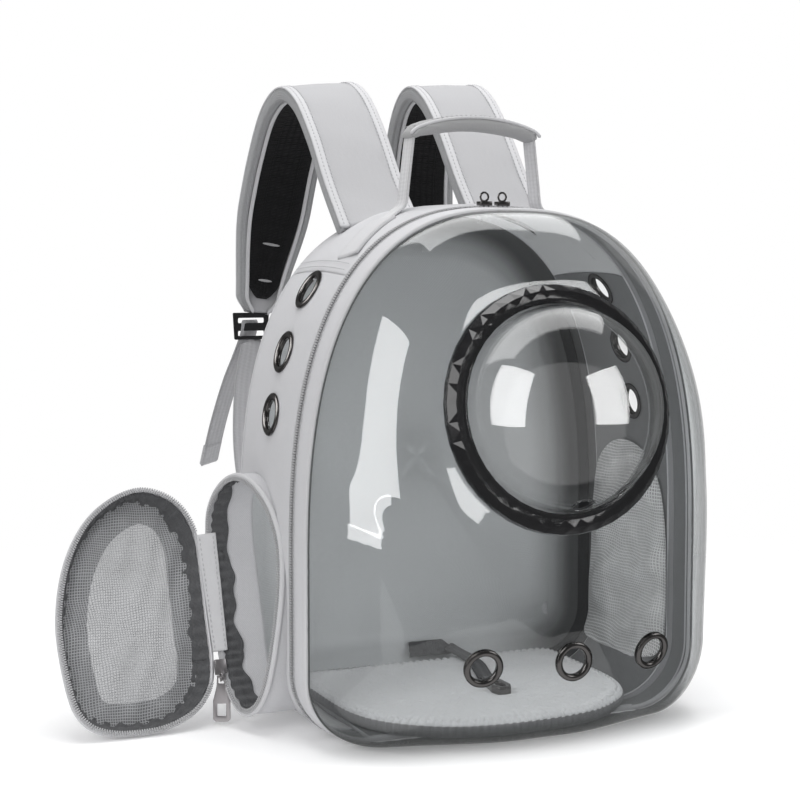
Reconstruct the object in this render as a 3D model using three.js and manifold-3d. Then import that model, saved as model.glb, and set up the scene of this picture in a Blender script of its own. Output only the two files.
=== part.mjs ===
// Pet carrier backpack: a cloth body with a clear front cover, a round dome window in a
// faceted ring, an open side door on a cloth hinge, padded shoulder straps and a top handle.
// Millimetres. +X is to the right as the front is seen, the front faces -Y, +Z is up, and the
// floor is z = 0. Lengths along Y are measured from the seam between the cover and the body.

import * as THREE from 'three';
import { mergeVertices } from 'three/addons/utils/BufferGeometryUtils.js';
import Module from 'manifold-3d';

const wasm = await Module();
wasm.setup();

const BODY = {
  halfWidth: 173, height: 415, cornerRadius: 53, archStart: 135, archPower: 2.6,
  depth: 180, backRadius: 26, swell: 0.016, wall: 2.5,
};
const CORNER_STEPS = 4;
const ARCH_STEPS = 11;
const BASE_MIDDLE = 78;
const GAP = 0.4;
const PIPING_RADIUS = 3;
const SEAM = PIPING_RADIUS + GAP;
const BAND_END = 24;
const ZIP = { start: 24.4, end: 33.6, tape: 1.4, coil: 1.6 };
const PANEL_START = 34;
const PANEL_END = 153.6;
const DISH_START = 154;
const COVER = { thickness: 1.2, depthAtFloor: 130, lean: 0.187, centreZ: 200, boxyTo: 86, roundFrom: 164 };
const RING = { z: 264, y: -81, seat: 104, hole: 84, facets: 36 };
const DOME = { radius: 78, rise: 70, shell: 2, flange: 90, vent: 8 };
const EYELET = { bore: 10, barrel: 11.5, flange: 15, lip: 1.2, hole: 12.6 };
const SIDE_EYELET_Y = 87;
const SIDE_EYELET_Z = [352, 302, 252];
const COVER_EYELET_X = [-72, 0, 72];
const COVER_EYELET_Z = 77;
const HINGE = { foot: [-208, 105, 58.5], lean: 0.387, rimSlope: 0.365 };
const COLLAR = { wall: 2, lining: 1.2, inside: 6 };
const DOOR = { wall: 2, depth: 15, window: 26, mesh: 0.8 };
const STRAP = { width: 71, outer: 7.5, lining: 5, liningInset: 5, endShare: 0.56 };
const WEBBING = { width: 25, thickness: 1.8 };
const HANDLE = { y: 72, width: 25, legTop: 471.9, gripWidth: 28, gripThick: 11 };
const MAT = { bottom: 4.6, top: 18, round: 4 };

const FINISH = {
  cloth: { color: 0xc9c9cc, roughness: 0.85, metalness: 0 },
  binding: { color: 0xd6d6d8, roughness: 0.8, metalness: 0 },
  zip: { color: 0x8b8c8f, roughness: 0.6, metalness: 0 },
  clear: { color: 0xaeb6b8, roughness: 0.08, metalness: 0, transparent: true, opacity: 0.3 },
  ring: { color: 0x0d0d0e, roughness: 0.18, metalness: 0 },
  gunmetal: { color: 0x4a4a4d, roughness: 0.28, metalness: 1 },
  steel: { color: 0x9a9698, roughness: 0.3, metalness: 1 },
  lining: { color: 0x4c4d50, roughness: 0.9, metalness: 0 },
  mesh: { color: 0x8f9193, roughness: 0.9, metalness: 0 },
  plush: { color: 0xe9e9ec, roughness: 0.95, metalness: 0 },
  black: { color: 0x121213, roughness: 0.9, metalness: 0 },
  plastic: { color: 0x161617, roughness: 0.45, metalness: 0 },
  webbing: { color: 0xbfc0c3, roughness: 0.85, metalness: 0 },
};

const vec = (x, y, z) => new THREE.Vector3(x, y, z);
const clamp = THREE.MathUtils.clamp;

// Geometry from loose vertices and triangles, with every face turned outward.
function closedGeometry(points, triangles) {
  let volume = 0;
  for (let i = 0; i < triangles.length; i += 3) {
    const [a, b, c] = [points[triangles[i]], points[triangles[i + 1]], points[triangles[i + 2]]];
    volume += a.dot(b.clone().cross(c));
  }
  const order = volume < 0 ? [0, 2, 1] : [0, 1, 2];
  const index = [];
  for (let i = 0; i < triangles.length; i += 3) {
    order.forEach((k) => index.push(triangles[i + k]));
  }
  const geometry = new THREE.BufferGeometry();
  const flat = points.flatMap((p) => [p.x, p.y, p.z]);
  geometry.setAttribute('position', new THREE.Float32BufferAttribute(flat, 3));
  geometry.setIndex(index);
  return geometry;
}

// A sheet between two grids of points, closed round its first index where asked.
function sheet(outer, inner, closed = false) {
  const rows = outer.length;
  const columns = outer[0].length;
  const points = [...outer.flat(), ...inner.flat()];
  const at = (side, i, j) => (side * rows + (i % rows)) * columns + j;
  const triangles = [];
  const quad = (a, b, c, d) => triangles.push(a, b, c, a, c, d);
  const steps = closed ? rows : rows - 1;
  const end = columns - 1;
  for (let i = 0; i < steps; i += 1) {
    for (let j = 0; j < end; j += 1) {
      quad(at(0, i, j), at(0, i + 1, j), at(0, i + 1, j + 1), at(0, i, j + 1));
      quad(at(1, i, j), at(1, i, j + 1), at(1, i + 1, j + 1), at(1, i + 1, j));
    }
    quad(at(0, i, 0), at(1, i, 0), at(1, i + 1, 0), at(0, i + 1, 0));
    quad(at(0, i, end), at(0, i + 1, end), at(1, i + 1, end), at(1, i, end));
  }
  if (!closed) {
    for (let j = 0; j < end; j += 1) {
      quad(at(0, 0, j), at(0, 0, j + 1), at(1, 0, j + 1), at(1, 0, j));
      quad(at(0, rows - 1, j), at(1, rows - 1, j), at(1, rows - 1, j + 1), at(0, rows - 1, j + 1));
    }
  }
  return closedGeometry(points, triangles);
}

// The triangles that fill a flat outline, wound the same way as the outline runs.
function fillOutline(flatPoints) {
  const faces = THREE.ShapeUtils.triangulateShape(flatPoints, []);
  const area = faces.reduce((sum, [a, b, c]) => {
    const [p, q, r] = [flatPoints[a], flatPoints[b], flatPoints[c]];
    return sum + (q.x - p.x) * (r.y - p.y) - (r.x - p.x) * (q.y - p.y);
  }, 0);
  const same = area * THREE.ShapeUtils.area(flatPoints) > 0;
  return same ? faces : faces.map(([a, b, c]) => [a, c, b]);
}

// A plate whose top and bottom outlines match point for point.
function plate(top, bottom, flatten) {
  const count = top.length;
  const faces = fillOutline(top.map(flatten));
  const triangles = [];
  faces.forEach(([a, b, c]) => {
    triangles.push(a, b, c);
    triangles.push(count + a, count + c, count + b);
  });
  for (let i = 0; i < count; i += 1) {
    const next = (i + 1) % count;
    triangles.push(next, i, count + i, next, count + i, count + next);
  }
  return closedGeometry([...top, ...bottom], triangles);
}

// A dish: closed rings from the rim inward, the last ring of each side filled flat.
function dish(outer, inner, flatten) {
  const rows = outer.length;
  const count = outer[0].length;
  const points = [...outer.flat(), ...inner.flat()];
  const at = (side, row, i) => (side * rows + row) * count + (i % count);
  const triangles = [];
  const quad = (a, b, c, d) => triangles.push(a, b, c, a, c, d);
  for (let i = 0; i < count; i += 1) {
    for (let row = 0; row < rows - 1; row += 1) {
      quad(at(0, row, i), at(0, row, i + 1), at(0, row + 1, i + 1), at(0, row + 1, i));
      quad(at(1, row, i), at(1, row + 1, i), at(1, row + 1, i + 1), at(1, row, i + 1));
    }
    quad(at(0, 0, i), at(1, 0, i), at(1, 0, i + 1), at(0, 0, i + 1));
  }
  fillOutline(outer[rows - 1].map(flatten)).forEach(([a, b, c]) => {
    triangles.push(at(0, rows - 1, a), at(0, rows - 1, b), at(0, rows - 1, c));
  });
  fillOutline(inner[rows - 1].map(flatten)).forEach(([a, b, c]) => {
    triangles.push(at(1, rows - 1, a), at(1, rows - 1, c), at(1, rows - 1, b));
  });
  return closedGeometry(points, triangles);
}

// A solid swept through cross-sections that match point for point.
function sweep(sections, closed = false) {
  const rows = sections.length;
  const sides = sections[0].length;
  const at = (i, j) => (i % rows) * sides + (j % sides);
  const triangles = [];
  for (let i = 0; i < (closed ? rows : rows - 1); i += 1) {
    for (let j = 0; j < sides; j += 1) {
      triangles.push(at(i, j), at(i + 1, j), at(i + 1, j + 1));
      triangles.push(at(i, j), at(i + 1, j + 1), at(i, j + 1));
    }
  }
  if (!closed) {
    for (let j = 1; j < sides - 1; j += 1) {
      triangles.push(at(0, 0), at(0, j), at(0, j + 1));
      triangles.push(at(rows - 1, 0), at(rows - 1, j + 1), at(rows - 1, j));
    }
  }
  return closedGeometry(sections.flat(), triangles);
}

function toSolid(geometry) {
  const copy = geometry.clone();
  copy.deleteAttribute('normal');
  copy.deleteAttribute('uv');
  const merged = mergeVertices(copy, 1e-4);
  return new wasm.Manifold(new wasm.Mesh({
    numProp: 3,
    vertProperties: new Float32Array(merged.attributes.position.array),
    triVerts: new Uint32Array(merged.index.array),
  }));
}

function fromSolid(solid) {
  const mesh = solid.getMesh();
  const geometry = new THREE.BufferGeometry();
  geometry.setAttribute('position', new THREE.Float32BufferAttribute(mesh.vertProperties, 3));
  geometry.setIndex(Array.from(mesh.triVerts));
  return geometry;
}

function cut(geometry, tools) {
  return fromSolid(tools.reduce((solid, tool) => solid.subtract(toSolid(tool)), toSolid(geometry)));
}

function join(geometries) {
  const [first, ...rest] = geometries.map(toSolid);
  return fromSolid(rest.reduce((solid, other) => solid.add(other), first));
}

// A round cutting rod through a point, along a direction.
function rod(point, direction, radius, length) {
  const geometry = new THREE.CylinderGeometry(radius, radius, length, 10);
  geometry.applyQuaternion(turnTo(direction));
  return geometry.translate(point.x, point.y, point.z);
}

function turnTo(direction) {
  return new THREE.Quaternion().setFromUnitVectors(vec(0, 1, 0), direction.clone().normalize());
}

// The cross-section outline of the body, seen from the front: flat base, rounded lower
// corners, straight sides and a full arch. It runs from the middle of the base to the right.
function halfOutline() {
  const { halfWidth, height, cornerRadius, archStart, archPower } = BODY;
  const inner = halfWidth - cornerRadius;
  const points = [[0, 0], [inner / 2, 0]];
  for (let i = 0; i <= CORNER_STEPS; i += 1) {
    const angle = (i / CORNER_STEPS) * (Math.PI / 2);
    points.push([inner + cornerRadius * Math.sin(angle), cornerRadius * (1 - Math.cos(angle))]);
  }
  points.push([halfWidth, (cornerRadius + archStart) / 2]);
  for (let i = 0; i <= ARCH_STEPS; i += 1) {
    const angle = (i / ARCH_STEPS) * (Math.PI / 2);
    const power = 2 / archPower;
    points.push([
      halfWidth * Math.max(Math.cos(angle), 0) ** power,
      archStart + (height - archStart) * Math.sin(angle) ** power,
    ]);
  }
  points[points.length - 1][0] = 0;
  return points;
}

const HALF = halfOutline();
const OUTLINE = [...HALF, ...HALF.slice(1, -1).reverse().map(([x, z]) => [-x, z])];
const COUNT = OUTLINE.length;
const BASE_EDGE = 2;
const TOP_JOIN = HALF.length - 1 - 5;
const LOOP = OUTLINE.map(([x, z], i) => {
  const [px, pz] = OUTLINE[(i + COUNT - 1) % COUNT];
  const [nx, nz] = OUTLINE[(i + 1) % COUNT];
  const size = Math.hypot(nx - px, nz - pz);
  return { x, z, outX: (nz - pz) / size, outZ: -(nx - px) / size };
});

const swell = (y) => 1 + BODY.swell * Math.sin(Math.PI * clamp(y / BODY.depth, 0, 1));

function bodyPoint(spot, y, inset) {
  const grow = swell(y);
  return vec(spot.x * grow - spot.outX * inset, y, spot.z * grow - spot.outZ * inset);
}

function spots(from, to) {
  return Array.from({ length: to - from + 1 }, (_, i) => LOOP[(from + i) % COUNT]);
}

// Where the right half of the outline passes a value: axis 0 is x, axis 1 is z.
function crossHalf(axis, value, first) {
  for (let i = first; i < HALF.length - 1; i += 1) {
    const [from, to] = [HALF[i], HALF[i + 1]];
    const part = (value - from[axis]) / (to[axis] - from[axis]);
    if (part >= 0 && part <= 1) return from[1 - axis] + part * (to[1 - axis] - from[1 - axis]);
  }
  return HALF[HALF.length - 1][1 - axis];
}

// The right-hand outer wall at a height, and the top at a distance from the middle.
function wallX(y, z) {
  return swell(y) * crossHalf(1, z / swell(y), BASE_EDGE);
}

function topZ(x, y) {
  return swell(y) * crossHalf(0, Math.abs(x) / swell(y), HALF.length - 1 - ARCH_STEPS);
}

function wallOut(y, z) {
  const slope = (wallX(y, z + 1) - wallX(y, z - 1)) / 2;
  return vec(1, 0, -slope).normalize();
}

// A stretch of body wall between two stations along Y.
function wallSheet(from, to, stations, thickness) {
  const line = spots(from, to);
  const outer = line.map((spot) => stations.map((y) => bodyPoint(spot, y, 0)));
  const inner = line.map((spot) => stations.map((y) => bodyPoint(spot, y, thickness)));
  return sheet(outer, inner);
}

const PANEL_STATIONS = [PANEL_START, 74, 114, PANEL_END];

// Outlines on a plane are short tables of points, smoothed to a closed loop.
function smoothLoop(table, count) {
  const curve = new THREE.CatmullRomCurve3(table.map(([a, b]) => vec(a, b, 0)), true, 'centripetal');
  return curve.getSpacedPoints(count).slice(0, count).map((p) => new THREE.Vector2(p.x, p.y));
}

// Moves a closed loop outward by a distance, or inward where it is negative.
function offsetLoop(loop, distance) {
  const turn = THREE.ShapeUtils.area(loop) > 0 ? 1 : -1;
  return loop.map((point, i) => {
    const before = loop[(i + loop.length - 1) % loop.length];
    const after = loop[(i + 1) % loop.length];
    const along = after.clone().sub(before).normalize();
    return new THREE.Vector2(point.x + turn * along.y * distance, point.y - turn * along.x * distance);
  });
}

const root = new THREE.Group();
const bag = new THREE.Group();
bag.position.y = -BASE_MIDDLE;
root.add(bag);

function add(name, geometry, finish, parent = bag) {
  const mesh = new THREE.Mesh(geometry, new THREE.MeshStandardMaterial(FINISH[finish]));
  mesh.name = name;
  parent.add(mesh);
  return mesh;
}

// The side door's mouth, in the plane of the wall: columns y, z.
const MOUTH = smoothLoop([
  [103, 53], [112, 77], [121.3, 100.5], [130.5, 124], [139.7, 148], [142, 170], [133, 189],
  [116, 200], [97, 199], [79, 190], [62, 175], [48, 152], [40.5, 120], [39, 85], [41, 48],
  [48, 26], [60, 16], [75, 18], [90, 31],
], 32);

// The mesh window on the other side takes the same place, a little wider: columns y, z.
const WINDOW = smoothLoop([
  [146, 60], [151, 100], [150, 145], [142, 178], [122, 198], [97, 204], [72, 196], [54, 174],
  [44, 140], [41, 100], [42, 64], [49, 38], [64, 27], [95, 24], [126, 28], [140, 40],
], 32);

function mouthTool(loop, side, grow) {
  const wide = offsetLoop(loop, grow);
  const ends = [120, 260].map((x) => wide.map((p) => vec(side * x, p.x, p.y)));
  return plate(ends[0], ends[1], (p) => new THREE.Vector2(p.y, p.z));
}

function sideEyelets(side) {
  return SIDE_EYELET_Z.map((z) => {
    const out = wallOut(SIDE_EYELET_Y, z);
    const normal = vec(side * out.x, 0, out.z);
    const place = vec(side * wallX(SIDE_EYELET_Y, z), SIDE_EYELET_Y, z);
    return { place: place.addScaledVector(normal, -BODY.wall / 2), normal };
  });
}

function buildBody() {
  [-1, 1].forEach((side) => {
    const from = side > 0 ? BASE_EDGE : COUNT - TOP_JOIN;
    const to = side > 0 ? TOP_JOIN : COUNT - BASE_EDGE;
    const holes = sideEyelets(side).map(({ place, normal }) => rod(place, normal, EYELET.hole, 16));
    const mouth = mouthTool(side > 0 ? WINDOW : MOUTH, side, GAP);
    const wall = wallSheet(from, to, PANEL_STATIONS, BODY.wall);
    add(side > 0 ? 'side_panel_right' : 'side_panel_left', cut(wall, [mouth, ...holes]), 'cloth');
  });
  const top = spots(TOP_JOIN, COUNT - TOP_JOIN);
  const trim = (inset) => top.map((spot, i) => PANEL_STATIONS.map((y) => {
    const point = bodyPoint(spot, y, inset);
    if (i > 0 && i < top.length - 1) return point;
    const inward = vec(spot.outZ, 0, -spot.outX).multiplyScalar(i === 0 ? -GAP : GAP);
    return point.add(inward);
  }));
  add('top_panel', sheet(trim(0), trim(BODY.wall)), 'cloth');

  const half = BODY.halfWidth - BODY.cornerRadius - GAP;
  const board = new THREE.BoxGeometry(2 * half, PANEL_END - SEAM, 4);
  add('base_panel', board, 'cloth').position.set(0, (PANEL_END + SEAM) / 2, 2);

  // The back turns forward at its rim to meet the side, top and base panels.
  const { backRadius, depth, wall } = BODY;
  const turns = [0, 30, 60, 90].map((degrees) => THREE.MathUtils.degToRad(degrees));
  const backRows = (skin) => turns.map((angle) => LOOP.map((spot) => {
    const inset = backRadius - (backRadius - skin) * Math.cos(angle);
    const y = DISH_START + (depth - DISH_START - skin) * Math.sin(angle);
    const edge = bodyPoint(spot, DISH_START, inset);
    return vec(edge.x, y, edge.z);
  }));
  const flat = (p) => new THREE.Vector2(p.x, p.z);
  add('back_panel', dish(backRows(0), backRows(wall), flat), 'cloth');

  const first = BASE_EDGE;
  const last = COUNT - BASE_EDGE;
  add('front_band', wallSheet(first, last, [SEAM, BAND_END], BODY.wall), 'cloth');

  const middle = (ZIP.start + ZIP.end) / 2;
  const zipProfile = [
    [ZIP.start, 0], [middle, ZIP.coil], [ZIP.end, 0],
  ];
  const zipLine = spots(first, last);
  const zipOuter = zipLine.map((spot, i) => zipProfile.map(([y, rise]) => {
    const low = i === 0 || i === zipLine.length - 1;
    return bodyPoint(spot, y, low ? 0.4 : -rise + 0.4);
  }));
  const zipInner = zipLine.map((spot) => zipProfile.map(([y]) => bodyPoint(spot, y, 0.4 + ZIP.tape)));
  add('main_zip', sheet(zipOuter, zipInner), 'zip');

  const pipe = LOOP.map((spot) => {
    const free = clamp((spot.z - 4) / 30, 0, 1);
    const radius = PIPING_RADIUS - 1 + free;
    return Array.from({ length: 5 }, (_, i) => {
      const angle = (i / 5) * 2 * Math.PI + Math.PI / 2;
      const inset = radius - 1.5 * free - radius * Math.sin(angle);
      return bodyPoint(spot, radius * Math.cos(angle), inset);
    });
  });
  add('piping', sweep(pipe, true), 'binding');
}

// Distance from the middle of the cover to the seam in a direction.
function seamRadius(dx, dz) {
  for (let i = 0; i < COUNT; i += 1) {
    const [ax, az] = OUTLINE[i];
    const [bx, bz] = OUTLINE[(i + 1) % COUNT];
    const [ex, ez] = [bx - ax, bz - az];
    const cross = dx * ez - dz * ex;
    const reach = (ax * ez - (az - COVER.centreZ) * ex) / cross;
    const part = (ax * dz - (az - COVER.centreZ) * dx) / cross;
    if (reach > 0 && part >= -1e-9 && part <= 1 + 1e-9) return reach;
  }
  return 1;
}

// The cover bulges forward as a rounded box front that leans back, rounder towards its sides and
// flattened under the ring.
function coverPoint(x, z) {
  const size = Math.hypot(x, z - COVER.centreZ);
  const share = size < 1e-6 ? 0 : size / seamRadius(x / size, (z - COVER.centreZ) / size);
  const power = 3 - THREE.MathUtils.smoothstep(Math.abs(x), COVER.boxyTo, COVER.roundFrom);
  const bulge = Math.max(0, 1 - share ** power) ** (1 / power);
  const free = -SEAM - (COVER.depthAtFloor - COVER.lean * z) * bulge;
  const seat = RING.y + COVER.lean * (z - RING.z);
  const away = Math.hypot(x, z - RING.z);
  const blend = THREE.MathUtils.smoothstep(away, RING.seat - 2, RING.seat + 40);
  return vec(x, seat + (free - seat) * blend, z);
}

function gridNormals(grid, towards) {
  const rows = grid.length;
  const end = grid[0].length - 1;
  return grid.map((row, i) => row.map((point, j) => {
    const along = grid[(i + 1) % rows][j].clone().sub(grid[(i + rows - 1) % rows][j]);
    const across = row[Math.min(j + 1, end)].clone().sub(row[Math.max(j - 1, 0)]);
    const normal = along.cross(across).normalize();
    const side = normal.dot(towards.clone().sub(point));
    return side > 0 ? normal : normal.negate();
  }));
}

const RING_AXIS = vec(0, -1, COVER.lean).normalize();

function buildCover() {
  const rows = [0, 5, 16, 36];
  const tilt = -RING_AXIS.y;
  const ringSpot = (spot, radius) => {
    const angle = Math.atan2(spot.z - RING.z, spot.x);
    return [radius * Math.cos(angle), RING.z + radius * tilt * Math.sin(angle)];
  };
  const grid = OUTLINE.map(([x, z]) => {
    const line = rows.map((degrees) => {
      const share = Math.cos(THREE.MathUtils.degToRad(degrees)) ** (2 / 3);
      return [share * x, COVER.centreZ + share * (z - COVER.centreZ)];
    });
    const edge = line[line.length - 1];
    const seat = ringSpot({ x, z }, RING.seat);
    [0.2, 0.5].forEach((part) => {
      line.push([edge[0] + part * (seat[0] - edge[0]), edge[1] + part * (seat[1] - edge[1])]);
    });
    line.push(seat, ringSpot({ x, z }, RING.hole));
    return line.map(([px, pz]) => coverPoint(px, pz));
  });
  const normals = gridNormals(grid, vec(0, 20, 200));
  normals.forEach((row) => {
    row[0].y = 0;
    row[0].normalize();
    row[row.length - 1].copy(RING_AXIS).negate();
  });
  const inner = grid.map((row, i) => row.map((point, j) => (
    point.clone().addScaledVector(normals[i][j], COVER.thickness))));
  const film = sheet(grid, inner, true);
  const probe = new THREE.Mesh(film);
  const front = (x, z) => {
    const ray = new THREE.Raycaster(vec(x, -400, z), vec(0, 1, 0));
    return ray.intersectObject(probe)[0].point;
  };
  const rim = EYELET.flange - 2;
  const eyelets = COVER_EYELET_X.map((x) => {
    const z = COVER_EYELET_Z;
    const up = front(x, z + rim).sub(front(x, z - rim));
    const across = front(x + rim, z).sub(front(x - rim, z));
    const normal = across.cross(up).normalize();
    return { place: front(x, z).addScaledVector(normal, -COVER.thickness / 2), normal };
  });
  const holes = eyelets.map(({ place, normal }) => rod(place, normal, EYELET.hole, 14));
  add('clear_cover', cut(film, holes), 'clear');
  eyelets.forEach((eyelet, i) => addEyelet(`cover_eyelet_${i + 1}`, eyelet, 1.1, 2.4));
}

function addEyelet(name, { place, normal }, front, back) {
  const { bore, barrel, flange, lip } = EYELET;
  const profile = [
    [bore, -back - lip], [flange, -back - lip], [flange, -back], [barrel, -back],
    [barrel, front], [flange, front], [bore, front + lip + 0.4], [bore, -back - lip],
  ].map(([r, s]) => new THREE.Vector2(r, s));
  const mesh = add(name, new THREE.LatheGeometry(profile, 10), 'gunmetal');
  mesh.position.copy(place);
  mesh.quaternion.copy(turnTo(normal));
}

function buildSideEyelets() {
  [[-1, 'left'], [1, 'right']].forEach(([side, word]) => {
    sideEyelets(side).forEach((eyelet, i) => addEyelet(`side_eyelet_${word}_${i + 1}`, eyelet, 1.9, 2.6));
  });
}

// The dome and its grip ring share an axis that leans with the front of the cover.
function buildDome() {
  const mount = new THREE.Group();
  mount.position.set(0, RING.y, RING.z);
  mount.quaternion.copy(turnTo(RING_AXIS));
  bag.add(mount);

  const { radius, rise, shell, flange, vent } = DOME;
  const foot = GAP + shell;
  const arc = [0, 20, 40, 60, 80].map((degrees) => THREE.MathUtils.degToRad(degrees));
  const outside = arc.map((a) => [radius * Math.cos(a), foot + rise * Math.sin(a)]);
  const inside = arc.map((a) => [(radius - shell) * Math.cos(a), foot + (rise - shell) * Math.sin(a)]);
  const profile = [
    [0, foot + rise - shell], ...inside.reverse(), [radius - shell, GAP], [flange, GAP],
    [flange, foot], ...outside, [0, foot + rise],
  ].map(([r, s]) => new THREE.Vector2(r, s));
  const shellGeometry = new THREE.LatheGeometry(profile, 24);
  const vents = [90, 61, 32].map((degrees) => {
    const angle = THREE.MathUtils.degToRad(degrees);
    const lift = THREE.MathUtils.degToRad(20);
    const way = vec(Math.cos(angle) * Math.cos(lift), Math.sin(lift), Math.sin(angle) * Math.cos(lift));
    return rod(way.clone().multiplyScalar(radius - 2), way, vent, 24);
  });
  add('dome', cut(shellGeometry, vents), 'clear', mount);

  const rows = [
    { r: 79.2, s: 2.9, half: 0 }, { r: 80.6, s: 8.2, half: 0 }, { r: 88.5, s: 10.6, half: 0.5 },
    { r: 95, s: 6, half: 0 }, { r: 95, s: 0.5, half: 0.5 }, { r: 90.9, s: 0.5, half: 0.5 },
    { r: 90.9, s: 2.9, half: 0.5 },
  ];
  const points = rows.flatMap(({ r, s, half }) => Array.from({ length: RING.facets }, (_, k) => {
    const angle = ((k + half) / RING.facets) * 2 * Math.PI;
    return vec(r * Math.cos(angle), s, r * Math.sin(angle));
  }));
  const at = (row, k) => (row % rows.length) * RING.facets + (k % RING.facets);
  const triangles = [];
  rows.forEach((row, i) => {
    const ahead = rows[(i + 1) % rows.length].half >= row.half;
    for (let k = 0; k < RING.facets; k += 1) {
      const [a, b, c, d] = [at(i, k), at(i, k + 1), at(i + 1, k + 1), at(i + 1, k)];
      if (ahead) triangles.push(a, b, d, b, c, d);
      else triangles.push(a, b, c, a, c, d);
    }
  });
  add('dome_ring', closedGeometry(points, triangles), 'ring', mount);
}

// The collar stands out from the wall to a slanted rim; the hinge line runs up its rear edge.
const HINGE_UP = vec(0, Math.sin(HINGE.lean), Math.cos(HINGE.lean)).normalize();
const HINGE_FOOT = vec(...HINGE.foot);
const DOOR_OUT = vec(-1, 0, 0);
const DOOR_FACE = vec(0, -HINGE_UP.z, HINGE_UP.y);

function rimX(y, z) {
  const ahead = (y - HINGE_FOOT.y) * DOOR_FACE.y + (z - HINGE_FOOT.z) * DOOR_FACE.z;
  return HINGE_FOOT.x + HINGE.rimSlope * ahead;
}

function mouthRow(loop, xAt) {
  return loop.map((p) => vec(xAt(p.x, p.y), p.x, p.y));
}

function tubeSheet(outerLoop, innerLoop, xAts) {
  const rows = (loop) => loop.map((_, i) => xAts.map((xAt) => mouthRow(loop, xAt)[i]));
  return sheet(rows(outerLoop), rows(innerLoop), true);
}

function buildCollar() {
  const within = (y, z) => -wallX(y, z) + COLLAR.inside;
  const skin = MOUTH;
  const liningOut = offsetLoop(MOUTH, -COLLAR.wall - 0.3);
  const liningIn = offsetLoop(MOUTH, -COLLAR.wall - 0.3 - COLLAR.lining);
  add('door_collar', tubeSheet(skin, offsetLoop(MOUTH, -COLLAR.wall), [rimX, within]), 'cloth');
  const liningRim = (y, z) => rimX(y, z) + 1;
  const deeper = (y, z) => within(y, z) + 5;
  add('collar_lining', tubeSheet(liningOut, liningIn, [liningRim, deeper]), 'lining');

  // The zip teeth edge the rim except along the hinge.
  const free = rimRun(offsetLoop(MOUTH, -1), (p) => hingeReach(vec(0, p.x, p.y)));
  const line = free.map((p) => vec(rimX(p.x, p.y) - 2, p.x, p.y));
  add('collar_zip', coil(line, vec(1, 0, 0), 1.6), 'zip');
}

// How far a point of the rim lies along the hinge, and whether the hinge or the slider covers it.
const HINGE_RUN = [-25, 98];
const SLIDER_RUN = 11;

function hingeReach(point) {
  const rise = (point.y - HINGE_FOOT.y) * HINGE_UP.y + (point.z - HINGE_FOOT.z) * HINGE_UP.z;
  const ahead = (point.y - HINGE_FOOT.y) * DOOR_FACE.y + (point.z - HINGE_FOOT.z) * DOOR_FACE.z;
  return ahead < 6 && rise > HINGE_RUN[0] - SLIDER_RUN && rise < HINGE_RUN[1];
}

function rimRun(loop, covered) {
  const start = loop.findIndex((p, i) => covered(loop[(i + loop.length - 1) % loop.length]) && !covered(p));
  const turned = [...loop.slice(start), ...loop.slice(0, start)];
  return turned.filter((p) => !covered(p));
}

// A bead of zip teeth along a line, four-sided, standing on a plane with the given normal.
function coil(line, normal, radius) {
  const sections = line.map((point, i) => {
    const before = line[Math.max(i - 1, 0)];
    const after = line[Math.min(i + 1, line.length - 1)];
    const along = after.clone().sub(before).normalize();
    const side = along.clone().cross(normal).normalize();
    const up = side.clone().cross(along).normalize();
    return Array.from({ length: 4 }, (_, k) => {
      const angle = (k / 4) * 2 * Math.PI + 0.3;
      return point.clone()
        .addScaledVector(side, radius * Math.cos(angle))
        .addScaledVector(up, radius * Math.sin(angle));
    });
  });
  return sweep(sections);
}

// The door in its own plane: columns out from the hinge, up along the hinge.
const DOOR_RIM = smoothLoop([
  [8, -6], [8, 28], [8, 62], [9, 96], [18, 120], [34, 134], [55, 139], [79, 131], [101, 113],
  [118, 85], [128, 52], [131, 18], [126, -28], [116, -48], [99, -57], [75, -59.5], [50, -57],
  [26, -46], [12, -28],
], 32);

function doorPoint(out, up, face) {
  return HINGE_FOOT.clone()
    .addScaledVector(DOOR_OUT, out)
    .addScaledVector(HINGE_UP, up)
    .addScaledVector(DOOR_FACE, face);
}

function doorRing(inset, face) {
  return offsetLoop(DOOR_RIM, -inset).map((p) => doorPoint(p.x, p.y, face));
}

function buildDoor() {
  const { wall, depth, window, mesh } = DOOR;
  const turn = (rings) => rings[0].map((_, i) => rings.map((ring) => ring[i]));
  const outside = [[0, 0], [0.5, -depth + 7], [6, -depth], [window, -depth]];
  const inside = [[wall, 0], [wall + 0.5, -depth + 8], [7, -depth + wall], [window, -depth + wall]];
  const rings = (profile) => turn(profile.map(([inset, face]) => doorRing(inset, face)));
  add('door_tray', sheet(rings(outside), rings(inside), true), 'cloth');

  const liningOut = [[wall + 0.4, -1], [wall + 0.9, -depth + 9]];
  const liningIn = [[wall + 1.6, -1], [wall + 2.1, -depth + 9]];
  add('door_lining', sheet(rings(liningOut), rings(liningIn), true), 'lining');

  const meshFoot = -depth + wall + 0.3;
  const flatten = (p) => new THREE.Vector2(p.x, p.z);
  add('door_mesh', plate(doorRing(13, meshFoot + mesh), doorRing(13, meshFoot), flatten), 'mesh');

  const covered = (p) => p.x < 20 && p.y > HINGE_RUN[0] && p.y < HINGE_RUN[1];
  const line = rimRun(offsetLoop(DOOR_RIM, -1), covered).map((p) => doorPoint(p.x, p.y, 2.3));
  add('door_zip', coil(line, DOOR_FACE, 1.9), 'zip');

  // The hinge is a strip of cloth from inside the collar to the front of the door's rim.
  const strip = (lift) => [-4, 20, 44, 68, 90].map((up) => [
    doorPoint(-8, up, 5.5 + lift), doorPoint(-0.5, up, 5 + lift), doorPoint(9.6, up, 0.5 + lift),
  ]);
  add('door_hinge_strip', sheet(strip(1.4), strip(0)), 'binding');
}

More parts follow.
